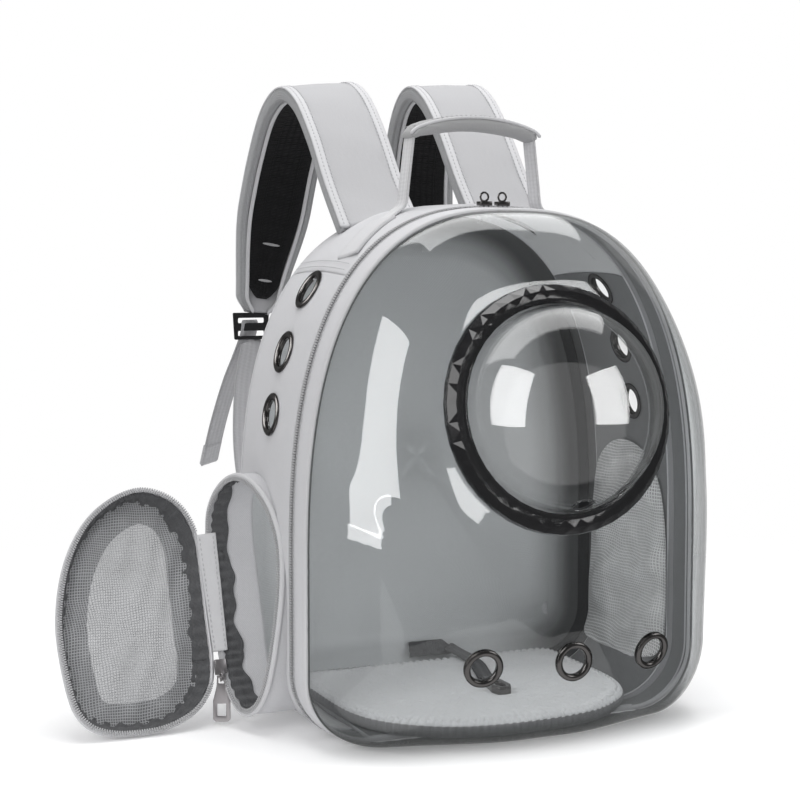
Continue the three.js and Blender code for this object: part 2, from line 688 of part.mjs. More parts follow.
// The slider stands at the lower end of the hinge; its pull hangs from a small bail.
const SLIDER = { out: 4, up: -14, face: 4.6, width: 9, height: 12, thick: 5 };
const PULL = { width: 14, neck: 7, length: 37, thick: 1.8, slotTop: 1, slot: 4.6, slotHalf: 2.5, turn: -0.41015 };

function buildDoorSlider() {
  const seat = doorPoint(SLIDER.out, SLIDER.up, SLIDER.face);
  const block = new THREE.BoxGeometry(SLIDER.width, SLIDER.thick, SLIDER.height);
  const half = SLIDER.height / 2;
  const pivotDrop = half + 2;
  const leg = (y) => new THREE.BoxGeometry(1.4, 1.4, 6).translate(0, y, -half - 2.4);
  const bar = new THREE.BoxGeometry(1.4, 6.8, 1.4).translate(0, 0, -half - 4.7);
  const slider = join([block, leg(-2.7), leg(2.7), bar]);
  const body = add('door_zip_slider', slider, 'steel');
  body.position.copy(seat);
  body.rotation.x = -HINGE.lean;

  // The pull's crossbar is the axis it swings on.
  const { width, neck, length, slotTop, slot, slotHalf } = PULL;
  const outline = new THREE.Shape();
  outline.moveTo(-neck / 2, slotTop);
  outline.lineTo(neck / 2, slotTop);
  outline.lineTo(neck / 2 + 0.6, -8);
  outline.lineTo(width / 2, -20);
  outline.lineTo(width / 2, -length + 2);
  outline.lineTo(width / 2 - 2, -length);
  outline.lineTo(-width / 2 + 2, -length);
  outline.lineTo(-width / 2, -length + 2);
  outline.lineTo(-width / 2, -20);
  outline.lineTo(-neck / 2 - 0.6, -8);
  outline.closePath();
  const rectangle = (halfWide, top, bottom) => new THREE.Path([
    new THREE.Vector2(-halfWide, bottom), new THREE.Vector2(halfWide, bottom),
    new THREE.Vector2(halfWide, top), new THREE.Vector2(-halfWide, top),
  ]);
  outline.holes.push(rectangle(slotHalf, -slotTop, -slotTop - slot));
  outline.holes.push(rectangle(3.6, -length + 15, -length + 4.5));
  const plateGeometry = new THREE.ExtrudeGeometry(outline, { depth: PULL.thick, bevelEnabled: false });
  plateGeometry.rotateX(Math.PI / 2).translate(0, PULL.thick / 2, 0);
  const pull = add('door_zip_pull', plateGeometry, 'steel');
  pull.position.copy(seat).addScaledVector(HINGE_UP, -pivotDrop);
  pull.rotation.z = PULL.turn;
}

function buildWindow() {
  const lifted = (p, lift) => (
    vec(wallX(p.x, p.y), p.x, p.y).addScaledVector(wallOut(p.x, p.y), lift));
  const place = (loop, inset) => loop.map((p) => lifted(p, -inset));
  const flatten = (p) => new THREE.Vector2(p.y, p.z);
  const wide = offsetLoop(WINDOW, 5);
  const inside = BODY.wall + 0.9;
  add('window_mesh_right', plate(place(wide, inside), place(wide, inside + 0.8), flatten), 'mesh');

  const edge = [-1, 3.5, 8].map((grow) => offsetLoop(WINDOW, grow));
  const ring = (lift) => WINDOW.map((_, i) => edge.map((loop) => lifted(loop[i], lift)));
  add('window_binding_right', sheet(ring(3), ring(1.6), true), 'binding');
}

// A flat band along a path: across points over its width, with a thickness to each side.
function band(path, steps, across, width, low, high, trimRoot) {
  const curve = new THREE.CatmullRomCurve3(path.map(([x, y, z]) => vec(x, y, z)), false, 'centripetal');
  const grids = [high, low].map((lift) => Array.from({ length: steps + 1 }, (_, i) => {
    const centre = curve.getPointAt(i / steps);
    const along = curve.getTangentAt(i / steps);
    const wide = across.clone().addScaledVector(along, -across.dot(along)).normalize();
    const normal = wide.clone().cross(along).normalize();
    const half = (trimRoot && i === steps ? STRAP.endShare : 1) * (width / 2);
    return (trimRoot ? [-1, -0.6, -0.2, 0.2, 0.6, 1] : [-1, 1]).map((part) => {
      const point = centre.clone().addScaledVector(wide, part * half).addScaledVector(normal, lift);
      if (trimRoot && i === 0) {
        const reach = (point.z - topZ(point.x, point.y) - 4.6 * GAP) / along.z;
        point.addScaledVector(along, -reach);
      }
      return point;
    });
  }));
  return sheet(grids[0], grids[1]);
}

// Shoulder strap on the right, columns x, y, z; the left one mirrors it.
const STRAP_PATH = [
  [62, 128, 409], [62, 160, 442], [62, 196, 485], [62.5, 232, 517], [64, 268, 528],
  [67, 303, 511], [71, 330, 470], [78, 346, 420], [88, 354, 368], [95, 356, 330],
];
const WEBBING_PATH = [
  [96.5, 357.5, 298.3], [96.8, 357, 290], [107, 345, 250], [119, 308, 188], [124, 246, 116], [123, 198, 74],
  [122, 183.4, 56], [122, 181.6, 34],
];
const TAIL_PATH = [
  [96.5, 360.9, 318], [97.5, 362.3, 305], [103, 371, 283], [111, 379, 257], [121, 388, 216], [126, 404, 174],
];

function buildStraps() {
  [[-1, 'left'], [1, 'right']].forEach(([side, word]) => {
    const mirror = (path) => path.map(([x, y, z]) => [side * x, y, z]);
    const across = vec(1, 0, 0);
    const { width, outer, lining, liningInset } = STRAP;
    const path = mirror(STRAP_PATH);
    const top = band(path, 9, across, width, -1, outer - 1, true);
    add(`strap_${word}`, top, 'cloth');
    const soft = band(path, 9, across, width - 2 * liningInset, -1.3 - lining, -1.3, true);
    add(`strap_lining_${word}`, soft, 'black');

    const { width: wide, thickness } = WEBBING;
    const flat = thickness / 2;
    add(`strap_webbing_${word}`, band(mirror(WEBBING_PATH), 11, across, wide, -flat, flat), 'webbing');
    add(`strap_tail_${word}`, band(mirror(TAIL_PATH), 6, across, wide, -flat, flat), 'webbing');

    const frame = new THREE.Shape();
    frame.moveTo(-18, 13);
    frame.lineTo(18, 13);
    frame.lineTo(16.5, -13);
    frame.lineTo(-16.5, -13);
    frame.closePath();
    const slots = [[8, 3], [-4.5, -9.5]].map(([high, low]) => new THREE.Path([
      new THREE.Vector2(-13.4, low), new THREE.Vector2(13.4, low),
      new THREE.Vector2(13.4, high), new THREE.Vector2(-13.4, high),
    ]));
    frame.holes.push(...slots);
    const lock = new THREE.ExtrudeGeometry(frame, { depth: 5, bevelEnabled: false });
    lock.rotateX(Math.PI / 2).translate(0, 2.5, 0);
    const adjuster = add(`strap_adjuster_${word}`, lock, 'plastic');
    adjuster.position.set(side * 96.5, 357.5, 312);
  });
}

function buildHandle() {
  const { y, width, legTop, gripWidth, gripThick } = HANDLE;
  const rise = 0.5 + WEBBING.thickness / 2;
  [[-1, 'left'], [1, 'right']].forEach(([side, word]) => {
    const sewn = [106, 98, 90, 82, 74].map((x) => [side * x, y, topZ(x, y) + rise * 1.15]);
    const foot = topZ(62, y) + rise;
    const leg = [[65, foot + 1.5], [60.5, foot + 8], [58.8, foot + 24], [58, legTop]];
    const path = [...sewn, ...leg.map(([x, z]) => [side * x, y, z])];
    const half = WEBBING.thickness / 2;
    add(`handle_webbing_${word}`, band(path, 12, vec(0, 1, 0), width, -half, half), 'webbing');
  });
  const arch = new THREE.CatmullRomCurve3([
    [-66, 474], [-57, 479], [-30, 486.5], [0, 489], [30, 486.5], [57, 479], [66, 474],
  ].map(([x, z]) => vec(x, y, z)), false, 'centripetal');
  const sections = Array.from({ length: 11 }, (_, i) => {
    const centre = arch.getPointAt(i / 10);
    const along = arch.getTangentAt(i / 10);
    const up = vec(-along.z, 0, along.x);
    const taper = i === 0 || i === 10 ? 0.75 : 1;
    return Array.from({ length: 8 }, (_k, k) => {
      const angle = (k / 8) * 2 * Math.PI;
      return centre.clone()
        .addScaledVector(vec(0, 1, 0), (gripWidth / 2) * Math.cos(angle))
        .addScaledVector(up, (gripThick / 2) * taper * Math.sin(angle));
    });
  });
  add('handle_grip', sweep(sections), 'cloth');
}

function buildZipSliders() {
  const y = (ZIP.start + ZIP.end) / 2;
  [[-1, 'left'], [1, 'right']].forEach(([side, word]) => {
    const body = new THREE.BoxGeometry(10, 9, 3.6).translate(0, 0, 1.8);
    const bail = new THREE.TorusGeometry(3.6, 1, 5, 10).rotateX(Math.PI / 2);
    bail.translate(0, 0, 7.2);
    const slider = add(`main_zip_slider_${word}`, join([body, bail]), 'steel');
    slider.position.set(side * 8, y, topZ(8, y) + ZIP.coil + 0.1);
  });
}

// The plush mat on the base: columns x, y of its right half.
const MAT_HALF = [
  [0, -46], [34, -44], [66, -36], [95, -17], [114, 6], [124, 34], [127, 70], [127, 150],
  [122, 161], [108, 165], [40, 165], [0, 165],
];

function buildInside() {
  const line = [...MAT_HALF, ...MAT_HALF.slice(1, -1).reverse().map(([x, y]) => [-x, y])];
  const loop = line.map(([x, y]) => new THREE.Vector2(x, y));
  const shape = new THREE.Shape(offsetLoop(loop, -MAT.round));
  const mat = new THREE.ExtrudeGeometry(shape, {
    depth: MAT.top - MAT.bottom - 2 * MAT.round, bevelEnabled: true, bevelSegments: 1,
    bevelSize: MAT.round, bevelThickness: MAT.round, curveSegments: 1,
  });
  add('floor_mat', mat.translate(0, 0, MAT.bottom + MAT.round), 'plush');

  const strap = [[16, 176.2, 52], [16, 175.6, 32], [16.5, 170, 22], [17, 158, 19.6], [18, 120, 19.4],
    [14, 66, 19.4]];
  add('tether_strap', band(strap, 9, vec(-1, 0, 0), 20, -0.8, 0.8), 'lining');

  const hook = new THREE.Shape();
  hook.moveTo(-5, 22);
  hook.lineTo(5, 22);
  hook.lineTo(7, 4);
  hook.lineTo(8.5, -12);
  hook.lineTo(5, -22);
  hook.lineTo(-5, -22);
  hook.lineTo(-8.5, -12);
  hook.lineTo(-7, 4);
  hook.closePath();
  hook.holes.push(new THREE.Path([
    new THREE.Vector2(-4, -12), new THREE.Vector2(-2, -17), new THREE.Vector2(2, -17),
    new THREE.Vector2(4, -12), new THREE.Vector2(2.6, -2), new THREE.Vector2(-2.6, -2),
  ]));
  const clasp = new THREE.ExtrudeGeometry(hook, { depth: 7, bevelEnabled: false });
  const piece = add('tether_hook', clasp, 'gunmetal');
  piece.position.set(11.4, 42.9, MAT.top + GAP);
  piece.rotation.z = -0.09;
}

buildBody();
buildCover();
buildSideEyelets();
buildDome();
buildCollar();
buildDoor();
buildDoorSlider();
buildWindow();
buildStraps();
buildHandle();
buildZipSliders();
buildInside();

export default root;
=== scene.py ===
"""Looks of a pet carrier backpack: cloth body, clear cover with a dome, side door, straps, handle and mat."""

import logging
import math
from dataclasses import dataclass, field
from enum import Enum
from functools import cached_property
from typing import Callable, Iterable, Sequence

import bmesh
import bpy
import numpy as np
from bmesh.types import BMesh
from mathutils import Matrix, Vector, noise


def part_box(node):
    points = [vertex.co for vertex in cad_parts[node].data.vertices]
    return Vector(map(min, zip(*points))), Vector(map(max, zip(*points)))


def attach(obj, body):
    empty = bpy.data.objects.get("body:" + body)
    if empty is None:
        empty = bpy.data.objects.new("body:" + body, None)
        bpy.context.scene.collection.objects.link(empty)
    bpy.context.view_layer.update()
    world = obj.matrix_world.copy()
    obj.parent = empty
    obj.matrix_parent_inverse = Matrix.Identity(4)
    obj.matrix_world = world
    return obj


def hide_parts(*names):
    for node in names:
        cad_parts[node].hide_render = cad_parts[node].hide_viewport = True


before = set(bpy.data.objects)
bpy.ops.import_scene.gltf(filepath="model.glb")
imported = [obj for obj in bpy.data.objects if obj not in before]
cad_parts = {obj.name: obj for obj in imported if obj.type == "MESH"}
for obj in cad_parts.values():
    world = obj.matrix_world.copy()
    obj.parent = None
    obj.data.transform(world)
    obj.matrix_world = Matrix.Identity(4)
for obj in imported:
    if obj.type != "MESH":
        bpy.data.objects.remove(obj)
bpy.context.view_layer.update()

LOG = logging.getLogger("carrier")

BAG = "bag"
LOCK_RING = "lock_ring"
PULL_TAB = "pull_tab"
SEAM_TO_ORIGIN = 0.078
FINE = 1e-6
HARD_EDGE = 40.0
WHITE = (1.0, 1.0, 1.0)
# The black that the painted shade on the back's inner face darkens towards.
PAINTED_SHADE_BLACK = (0.012, 0.012, 0.013, 1.0)
CLOTH_MAP = "cloth"

Place = Callable[[float, float], Vector]
Height = Callable[[float, float], float]


def seam(x: float, y: float, z: float) -> Vector:
    """A point of the part's frame from x, the distance behind the front seam, and the height."""
    return Vector((x, y - SEAM_TO_ORIGIN, z))


def mix(a: float, b: float, part: float) -> float:
    """The value a given part of the way from a to b."""
    return a + (b - a) * part


def ease(low: float, high: float, value: float) -> float:
    """A smooth step from 0 at low to 1 at high."""
    t = min(max((value - low) / (high - low), 0.0), 1.0)
    return t * t * (3 - 2 * t)


def ripple(point: Vector, size: float, seed: float = 0.0) -> float:
    """Soft noise from -1 to 1 at a point, with lumps of the given size."""
    return noise.noise(Vector((point.x / size + seed, point.y / size - seed, point.z / size)))


class Sock:
    """A node socket that takes part in Python arithmetic."""

    def __init__(self, shader: "Shader", socket: bpy.types.NodeSocket) -> None:
        """Wraps a socket of a shader's node tree."""
        self.shader = shader
        self.socket = socket

    def _math(self, operation: str, *values: object) -> "Sock":
        """Adds a Math node for an operation on values and sockets."""
        node = self.shader.node("ShaderNodeMath", {"operation": operation}, dict(enumerate(values)))
        return self.shader.out(node)

    def __add__(self, other: object) -> "Sock":
        """This plus other."""
        return self._math("ADD", self, other)

    __radd__ = __add__

    def __sub__(self, other: object) -> "Sock":
        """This less other."""
        return self._math("SUBTRACT", self, other)

    def __rsub__(self, other: object) -> "Sock":
        """Other less this."""
        return self._math("SUBTRACT", other, self)

    def __mul__(self, other: object) -> "Sock":
        """This times other."""
        return self._math("MULTIPLY", self, other)

    __rmul__ = __mul__

    def __pow__(self, other: object) -> "Sock":
        """This to a power."""
        return self._math("POWER", self, other)

    def sine(self) -> "Sock":
        """The sine of this."""
        return self._math("SINE", self)

    def above(self, level: float) -> "Sock":
        """One where this is above a level, else zero."""
        return self._math("GREATER_THAN", self, level)

    def most(self, other: object) -> "Sock":
        """The larger of this and other."""
        return self._math("MAXIMUM", self, other)

    def least(self, other: object) -> "Sock":
        """The smaller of this and other."""
        return self._math("MINIMUM", self, other)

    def size(self) -> "Sock":
        """This without its sign."""
        return self._math("ABSOLUTE", self)


class Shader:
    """The node tree of a material or of the world, under construction."""

    def __init__(self, name: str, world: bpy.types.World | None = None) -> None:
        """Starts an empty material of that name, or an empty tree for the world."""
        self.owner = world or bpy.data.materials.new(name)
        self.owner.use_nodes = True
        self.tree = self.owner.node_tree
        self.tree.nodes.clear()

    def node(self, kind: str, settings: dict | None = None, sockets: dict | None = None) -> bpy.types.Node:
        """Adds a node.

        Args:
            kind: the node's type.
            settings: attributes that are set first.
            sockets: values or links of its inputs, by name or number.

        Returns:
            The new node.
        """
        node = self.tree.nodes.new(kind)
        for key, value in (settings or {}).items():
            setattr(node, key, value)
        for key, value in (sockets or {}).items():
            if isinstance(value, Sock):
                self.tree.links.new(value.socket, node.inputs[key])
            else:
                node.inputs[key].default_value = value
        return node

    def out(self, node: bpy.types.Node, key: int | str = 0) -> Sock:
        """An output of a node, ready for arithmetic."""
        return Sock(self, node.outputs[key])

    def uv(self) -> tuple[Sock, Sock]:
        """The piece's own cloth coordinates, in metres."""
        node = self.node("ShaderNodeUVMap", {"uv_map": CLOTH_MAP})
        split = self.node("ShaderNodeSeparateXYZ", None, {0: self.out(node)})
        return self.out(split, 0), self.out(split, 1)

    def place(self) -> Sock:
        """Object coordinates, in metres."""
        return self.out(self.node("ShaderNodeTexCoord"), "Object")

    def grain(self, scale: float, detail: float = 2.0) -> Sock:
        """Noise over the object, from 0 to 1."""
        sockets = {"Vector": self.place(), "Scale": scale, "Detail": detail}
        return self.out(self.node("ShaderNodeTexNoise", None, sockets), 0)

    def blend(self, factor: Sock | float, low: Sequence[float], high: Sequence[float]) -> Sock:
        """A colour between two, by a factor."""
        sockets = {0: factor, 6: (*low, 1.0), 7: (*high, 1.0)}
        return self.out(self.node("ShaderNodeMix", {"data_type": "RGBA"}, sockets), 2)

    def bump(self, height: Sock, distance: float, strength: float = 1.0) -> Sock:
        """A normal from a height in units of the distance."""
        sockets = {"Strength": strength, "Distance": distance, "Height": height}
        return self.out(self.node("ShaderNodeBump", None, sockets))

    def principled(self, **sockets: object) -> Sock:
        """A Principled shader whose inputs are given in words joined by underscores."""
        named = {key.replace("_", " "): value for key, value in sockets.items()}
        return self.out(self.node("ShaderNodeBsdfPrincipled", None, named))

    def step(self, value: Sock, low: float, high: float) -> Sock:
        """A smooth step from 0 at low to 1 at high."""
        sockets = {"Value": value, "From Min": low, "From Max": high}
        return self.out(self.node("ShaderNodeMapRange", {"interpolation_type": "SMOOTHSTEP"}, sockets))

    def spot(self) -> tuple[Sock, Sock, Sock]:
        """Object coordinates one by one, in metres."""
        split = self.node("ShaderNodeSeparateXYZ", None, {0: self.place()})
        return self.out(split, 0), self.out(split, 1), self.out(split, 2)

    def mixed(self, factor: Sock, first: Sock, second: Sock) -> Sock:
        """A shader between two, by a factor."""
        return self.out(self.node("ShaderNodeMixShader", None, {0: factor, 1: first, 2: second}))

    def clear(self, tint: Sequence[float] = WHITE) -> Sock:
        """A shader that lets light through."""
        return self.out(self.node("ShaderNodeBsdfTransparent", None, {"Color": (*tint, 1.0)}))

    def show(self, surface: Sock, output: str = "ShaderNodeOutputMaterial") -> bpy.types.ID:
        """Ends the tree with that surface."""
        self.node(output, None, {"Surface": surface})
        return self.owner


class Weave(Enum):
    """How a cloth's threads lie."""

    PLAIN = "plain"
    RIBBED = "ribbed"
    AIR_MESH = "air mesh"


@dataclass(frozen=True)
class Cloth:
    """A woven cloth."""

    name: str
    color: tuple[float, float, float]
    weave: Weave = Weave.PLAIN
    pitch: float = 0.0012
    depth: float = 0.00016
    contrast: float = 0.10
    roughness: float = 0.85
    sheen: float = 0.15
    blotch: float = 0.05
    solid: bool = False
    # How strongly painted shade darkens the back's far and upper edges; none where it is zero.
    corner: float = 0.0

    def painted_corner_shade(self, shader: Shader, u: Sock, v: Sock) -> Sock:
        """The painted shade of the back: how dark its far and upper edges are, by the place round it and the
        way in.
        """
        inward = v + shader.step(u, 0.40, 0.60) * 0.02
        near = 1 - shader.step(inward, 0.054, 0.120)
        side = shader.step(u, 0.06, 0.16) * (1 - shader.step(u, 0.64, 0.86))
        return near * side * self.corner

    def make(self) -> bpy.types.Material:
        """Builds the cloth on its own cloth coordinates, or on the object's where it is remeshed."""
        shader = Shader(self.name)
        u, v = shader.uv()
        if self.solid:
            x, y, z = shader.spot()
            u, v = x, y + z
        turn = 2 * math.pi / self.pitch
        if self.weave is Weave.RIBBED:
            threads = (v * turn).sine() * 0.7 + (u * turn * 0.5).sine() * 0.3
        elif self.weave is Weave.AIR_MESH:
            threads = 1 - ((u * turn).sine() * (v * turn).sine()).size() * 2
        else:
            threads = (u * turn).sine() * (v * turn).sine()
        soil = shader.grain(9.0, 4.0)
        fleck = shader.grain(700.0, 1.0)
        tone = threads * (self.contrast * 0.5) + (soil - 0.5) * self.blotch * 2
        tone = tone + (fleck - 0.5) * self.contrast + 0.5
        dark = [c * 0.72 for c in self.color]
        light = [min(c * 1.28, 1.0) for c in self.color]
        height = threads * 0.5 + fleck * 0.4
        color = shader.blend(tone, dark, light)
        # Painted shade: the colour darkens towards black near the back's far and upper edges.
        if self.corner:
            corner_shade_mix = {0: self.painted_corner_shade(shader, u, v), 6: color, 7: PAINTED_SHADE_BLACK}
            color = shader.out(shader.node("ShaderNodeMix", {"data_type": "RGBA"}, corner_shade_mix), 2)
        surface = shader.principled(
            Base_Color=color, Roughness=(soil - 0.5) * 0.1 + self.roughness,
            Normal=shader.bump(height, self.depth), Sheen_Weight=self.sheen, Sheen_Roughness=0.5,
            Specular_IOR_Level=0.25,
        )
        return shader.show(surface)


@dataclass(frozen=True)
class Netting:
    """A fine net that lets part of the light through."""

    name: str
    color: tuple[float, float, float]
    pitch: float = 0.0021
    hole: float = 0.5
    seen: float = 0.6
    depth: float = 0.45

    def make(self) -> bpy.types.Material:
        """Builds the net: wavering threads round rows of square holes, which are more or less clear."""
        shader = Shader(self.name)
        u, v = shader.uv()
        wander = (shader.grain(22.0, 1.0) - 0.5) * 0.010
        turn = math.pi / self.pitch
        holes = ((u + wander) * turn).sine().size().least(((v + wander) * turn).sine().size())
        open_part = holes.above(1 - self.hole)
        tone = shader.grain(60.0, 3.0) * 0.4 + 0.55 - open_part * 0.5
        dark = [c * self.depth for c in self.color]
        light = [min(c * 1.35, 1.0) for c in self.color]
        surface = shader.principled(
            Base_Color=shader.blend(tone, dark, light), Roughness=0.8, Alpha=1 - open_part * self.seen,
            Normal=shader.bump(holes * -1.0, 0.0003), Specular_IOR_Level=0.3,
        )
        return shader.show(surface)


@dataclass(frozen=True)
class ClearSheet:
    """Clear moulded sheet with a faint smoke tint."""

    name: str
    tint: tuple[float, float, float]
    gloss: float = 1.0
    edge: float = 0.35
    haze: float = 0.02
    rim: float = 0.0
    # Height up to which painted shadow darkens the sheet, for the shade under the carrier; none where it is
    # zero.
    foot: float = 0.0

    def make(self) -> bpy.types.Material:
        """Builds the sheet: see-through, with mirrored light, dark smoke where it turns away or ends, and
        painted shadow towards its bottom edge.
        """
        shader = Shader(self.name)
        smoke = shader.principled(Base_Color=(0.075, 0.08, 0.08, 1.0), Roughness=0.3)
        facing = shader.out(shader.node("ShaderNodeLayerWeight", None, {"Blend": 0.5}), "Facing")
        smoke_and_painted_shadow = (facing ** 3.0) * self.edge + self.haze
        if self.rim:
            _, inward = shader.uv()
            smoke_and_painted_shadow = smoke_and_painted_shadow.most((1 - inward.above(self.rim)) * 0.8)
        # Painted shadow: the sheet darkens towards its bottom edge, standing for the shade that the carrier
        # casts under itself.
        if self.foot:
            height = shader.spot()[2]
            smoke_and_painted_shadow = smoke_and_painted_shadow.most((1 - shader.step(height, 0.0, self.foot)) * 0.6)
        film = shader.mixed(smoke_and_painted_shadow, shader.clear(self.tint), smoke)
        waves = shader.bump(shader.grain(14.0, 1.0), 0.0012, 0.15)
        polish = {"Color": (*WHITE, 1.0), "Roughness": 0.015, "Normal": waves}
        mirror = shader.out(shader.node("ShaderNodeBsdfGlossy", None, polish))
        shine = (facing ** 5.0) * (0.55 * self.gloss) + 0.04 * self.gloss
        return shader.show(shader.mixed(shine, film, mirror))


@dataclass(frozen=True)
class Hard:
    """Moulded plastic or plated metal."""

    name: str
    color: tuple[float, float, float]
    metallic: float = 0.0
    roughness: float = 0.3
    wear: float = 0.06
    coat: float = 0.0

    def make(self) -> bpy.types.Material:
        """Builds the finish with fine scratches and uneven gloss."""
        shader = Shader(self.name)
        cloud = shader.grain(40.0, 4.0)
        scratch = shader.grain(900.0, 2.0)
        tone = (cloud - 0.5) * 0.6 + (scratch - 0.5) * 0.3 + 0.5
        dark = [c * 0.82 for c in self.color]
        light = [min(c * 1.18, 1.0) for c in self.color]
        surface = shader.principled(
            Base_Color=shader.blend(tone, dark, light), Metallic=self.metallic,
            Roughness=(cloud - 0.5) * self.wear + scratch * self.wear * 0.5 + self.roughness,
            Normal=shader.bump(scratch, 0.00003, 0.4), Coat_Weight=self.coat, Coat_Roughness=0.08,
        )
        return shader.show(surface)


@dataclass(frozen=True)
class Plush:
    """Short white pile."""

    name: str
    color: tuple[float, float, float]

    def make(self) -> bpy.types.Material:
        """Builds the pile: tufts in the colour and the bump, and a soft sheen."""
        shader = Shader(self.name)
        tuft = shader.grain(420.0, 3.0)
        drift = shader.grain(26.0, 3.0)
        tone = tuft * 0.6 + drift * 0.4
        dark = [c * 0.80 for c in self.color]
        surface = shader.principled(
            Base_Color=shader.blend(tone, dark, self.color), Roughness=0.95,
            Normal=shader.bump(tuft + drift * 0.6, 0.0016), Sheen_Weight=0.5, Sheen_Roughness=0.6,
            Specular_IOR_Level=0.15,
        )
        return shader.show(surface)


class Finish(Enum):
    """Every finish of the carrier, with the record's slot it belongs to."""

    CLOTH = (Cloth("light_grey_cloth", (0.61, 0.61, 0.628)), "cloth")
    # Painted shade: a darker copy of the body cloth for the straps, for how the light falls on their fronts.
    SHADED_STRAP_CLOTH = (Cloth("strap_cloth", (0.46, 0.46, 0.473)), "cloth")
    # Painted shade: a darker copy of the body cloth for the grip, whose face turns down and away from the
    # light.
    SHADED_GRIP_CLOTH = (Cloth("grip_cloth", (0.40, 0.40, 0.405), solid=True), "cloth")
    TRIM = (Cloth("pale_binding", (0.62, 0.62, 0.635), pitch=0.0009, contrast=0.08), "binding")
    WEBBING = (Cloth("ribbed_webbing", (0.50, 0.50, 0.515), Weave.RIBBED, 0.0017, 0.0003, 0.22), "webbing")
    PALE_WEBBING = (Cloth("pale_webbing", (0.66, 0.66, 0.672), Weave.RIBBED, 0.0017, 0.0003, 0.22), "webbing")
    # Lit and shaded copies of one grey lining, as painted light and shade: the lit copy for the near wall and
    # the top, darker ones for the mouth, the back, the far wall, the base and the front band.
    SHADED_MOUTH_INSIDE = (Cloth("shaded_mouth_inside_cloth", (0.57, 0.57, 0.59), pitch=0.0022, contrast=0.25), "lining")
    LIT_INSIDE = (Cloth("lit_grey_inside_cloth", (0.86, 0.865, 0.88), pitch=0.0022, contrast=0.25), "lining")
    BACK_INSIDE = (Cloth("back_inside_cloth", (0.72, 0.735, 0.745), pitch=0.0022, contrast=0.25, corner=0.9),
                   "lining")
    SHADED_INSIDE = (Cloth("shaded_inside_cloth", (0.22, 0.223, 0.228), pitch=0.0022, contrast=0.25), "lining")
    # A dark seam strip that is partly painted shade: along the back's far corner and in the groove behind the
    # front piping.
    SEAM_SHADE_TAPE = (Cloth("black_seam_shade_tape", (0.022, 0.023, 0.025), Weave.RIBBED, 0.0016), "lining")
    LINING = (Cloth("dark_gathered_lining", (0.105, 0.107, 0.112), Weave.AIR_MESH, 0.0022, 0.0004, 0.6),
              "lining")
    STRAP_MESH = (Cloth("black_air_mesh", (0.010, 0.010, 0.011), Weave.AIR_MESH, 0.003, 0.0006, 0.5, 0.9,
                        0.1), "black")
    EDGE_MESH = (Cloth("grey_edge_mesh", (0.40, 0.405, 0.415), Weave.AIR_MESH, 0.0024, 0.0005, 0.5), "mesh")
    TAPE = (Cloth("zip_tape", (0.36, 0.36, 0.37), Weave.RIBBED, 0.0012, 0.0002, 0.2), "zip")
    TEETH = (Hard("zip_teeth", (0.46, 0.46, 0.47), 0.0, 0.4), "zip")
    THREAD = (Cloth("sewing_thread", (0.46, 0.46, 0.475), Weave.RIBBED, 0.0008, 0.0001, 0.2), "binding")
    NET = (Netting("grey_net", (0.33, 0.335, 0.345), 0.0021, 0.52, 0.38, 0.40), "mesh")
    WALL_NET = (Netting("wall_net", (0.76, 0.765, 0.775), 0.0027, 0.5, 0.12, 0.28), "mesh")
    CLEAR = (ClearSheet("clear_sheet", (0.96, 0.968, 0.97), 1.0, 0.45, 0.012, 0.0120, 0.036), "clear")
    DOME = (ClearSheet("clear_dome", (0.975, 0.978, 0.978), 1.3, 0.5, 0.008), "clear")
    VENT = (Hard("vent_edge", (0.03, 0.03, 0.032), 0.0, 0.15), "clear")
    GLOSS = (Hard("gloss_black", (0.008, 0.008, 0.009), 0.0, 0.12, 0.05, 0.6), "ring")
    DARK_METAL = (Hard("dark_nickel", (0.11, 0.105, 0.103), 1.0, 0.2, 0.08), "gunmetal")
    STEEL = (Hard("satin_zinc", (0.42, 0.40, 0.41), 1.0, 0.3, 0.1), "steel")
    PLASTIC = (Hard("black_plastic", (0.012, 0.012, 0.013), 0.0, 0.4), "plastic")
    PLUSH = (Plush("white_plush", (0.96, 0.96, 0.975)), "plush")

    @cached_property
    def material(self) -> bpy.types.Material:
        """The finish's material, made when it is first used."""
        return self.value[0].make()

    @property
    def slot(self) -> str:
        """The record's slot."""
        return self.value[1]


@dataclass
class Making:
    """Puts finished meshes into the scene and keeps the list of pieces."""

    pieces: list[bpy.types.Object] = field(default_factory=list)

    def named(self, name: str) -> bpy.types.Object:
        """The piece of that name."""
        return next(thing for thing in self.pieces if thing.name == name)

    def piece(self, name: str, bm: BMesh, finishes: Sequence[Finish], body: str = BAG,
              replaces: Iterable[str] = (), sharp: float | None = None,
              wall: float = 0.0) -> bpy.types.Object:
        """Makes a piece from a mesh.

        Args:
            name: the piece's name.
            bm: its mesh, which is freed.
            finishes: its materials, the outer one first.
            body: the body that it rides on.
            replaces: the solids that it stands for.
            sharp: the angle in degrees past which an edge stays sharp.
            wall: the thickness that an open sheet gets, with the last finish inside.

        Returns:
            The new object.
        """
        mesh = bpy.data.meshes.new(name)
        bm.to_mesh(mesh)
        bm.free()
        for finish in finishes:
            mesh.materials.append(finish.material)
        mesh.polygons.foreach_set("use_smooth", [True] * len(mesh.polygons))
        if sharp is not None:
            mesh.set_sharp_from_angle(angle=math.radians(sharp))
        thing = bpy.data.objects.new(name, mesh)
        bpy.context.scene.collection.objects.link(thing)
        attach(thing, body)
        finishes[0].slot
        if replaces:
            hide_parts(*replaces)
        if wall:
            thicken(thing, wall, len(finishes) - 1)
        self.pieces.append(thing)
        LOG.info("%s: %d faces on %s", name, len(mesh.polygons), body)
        return thing


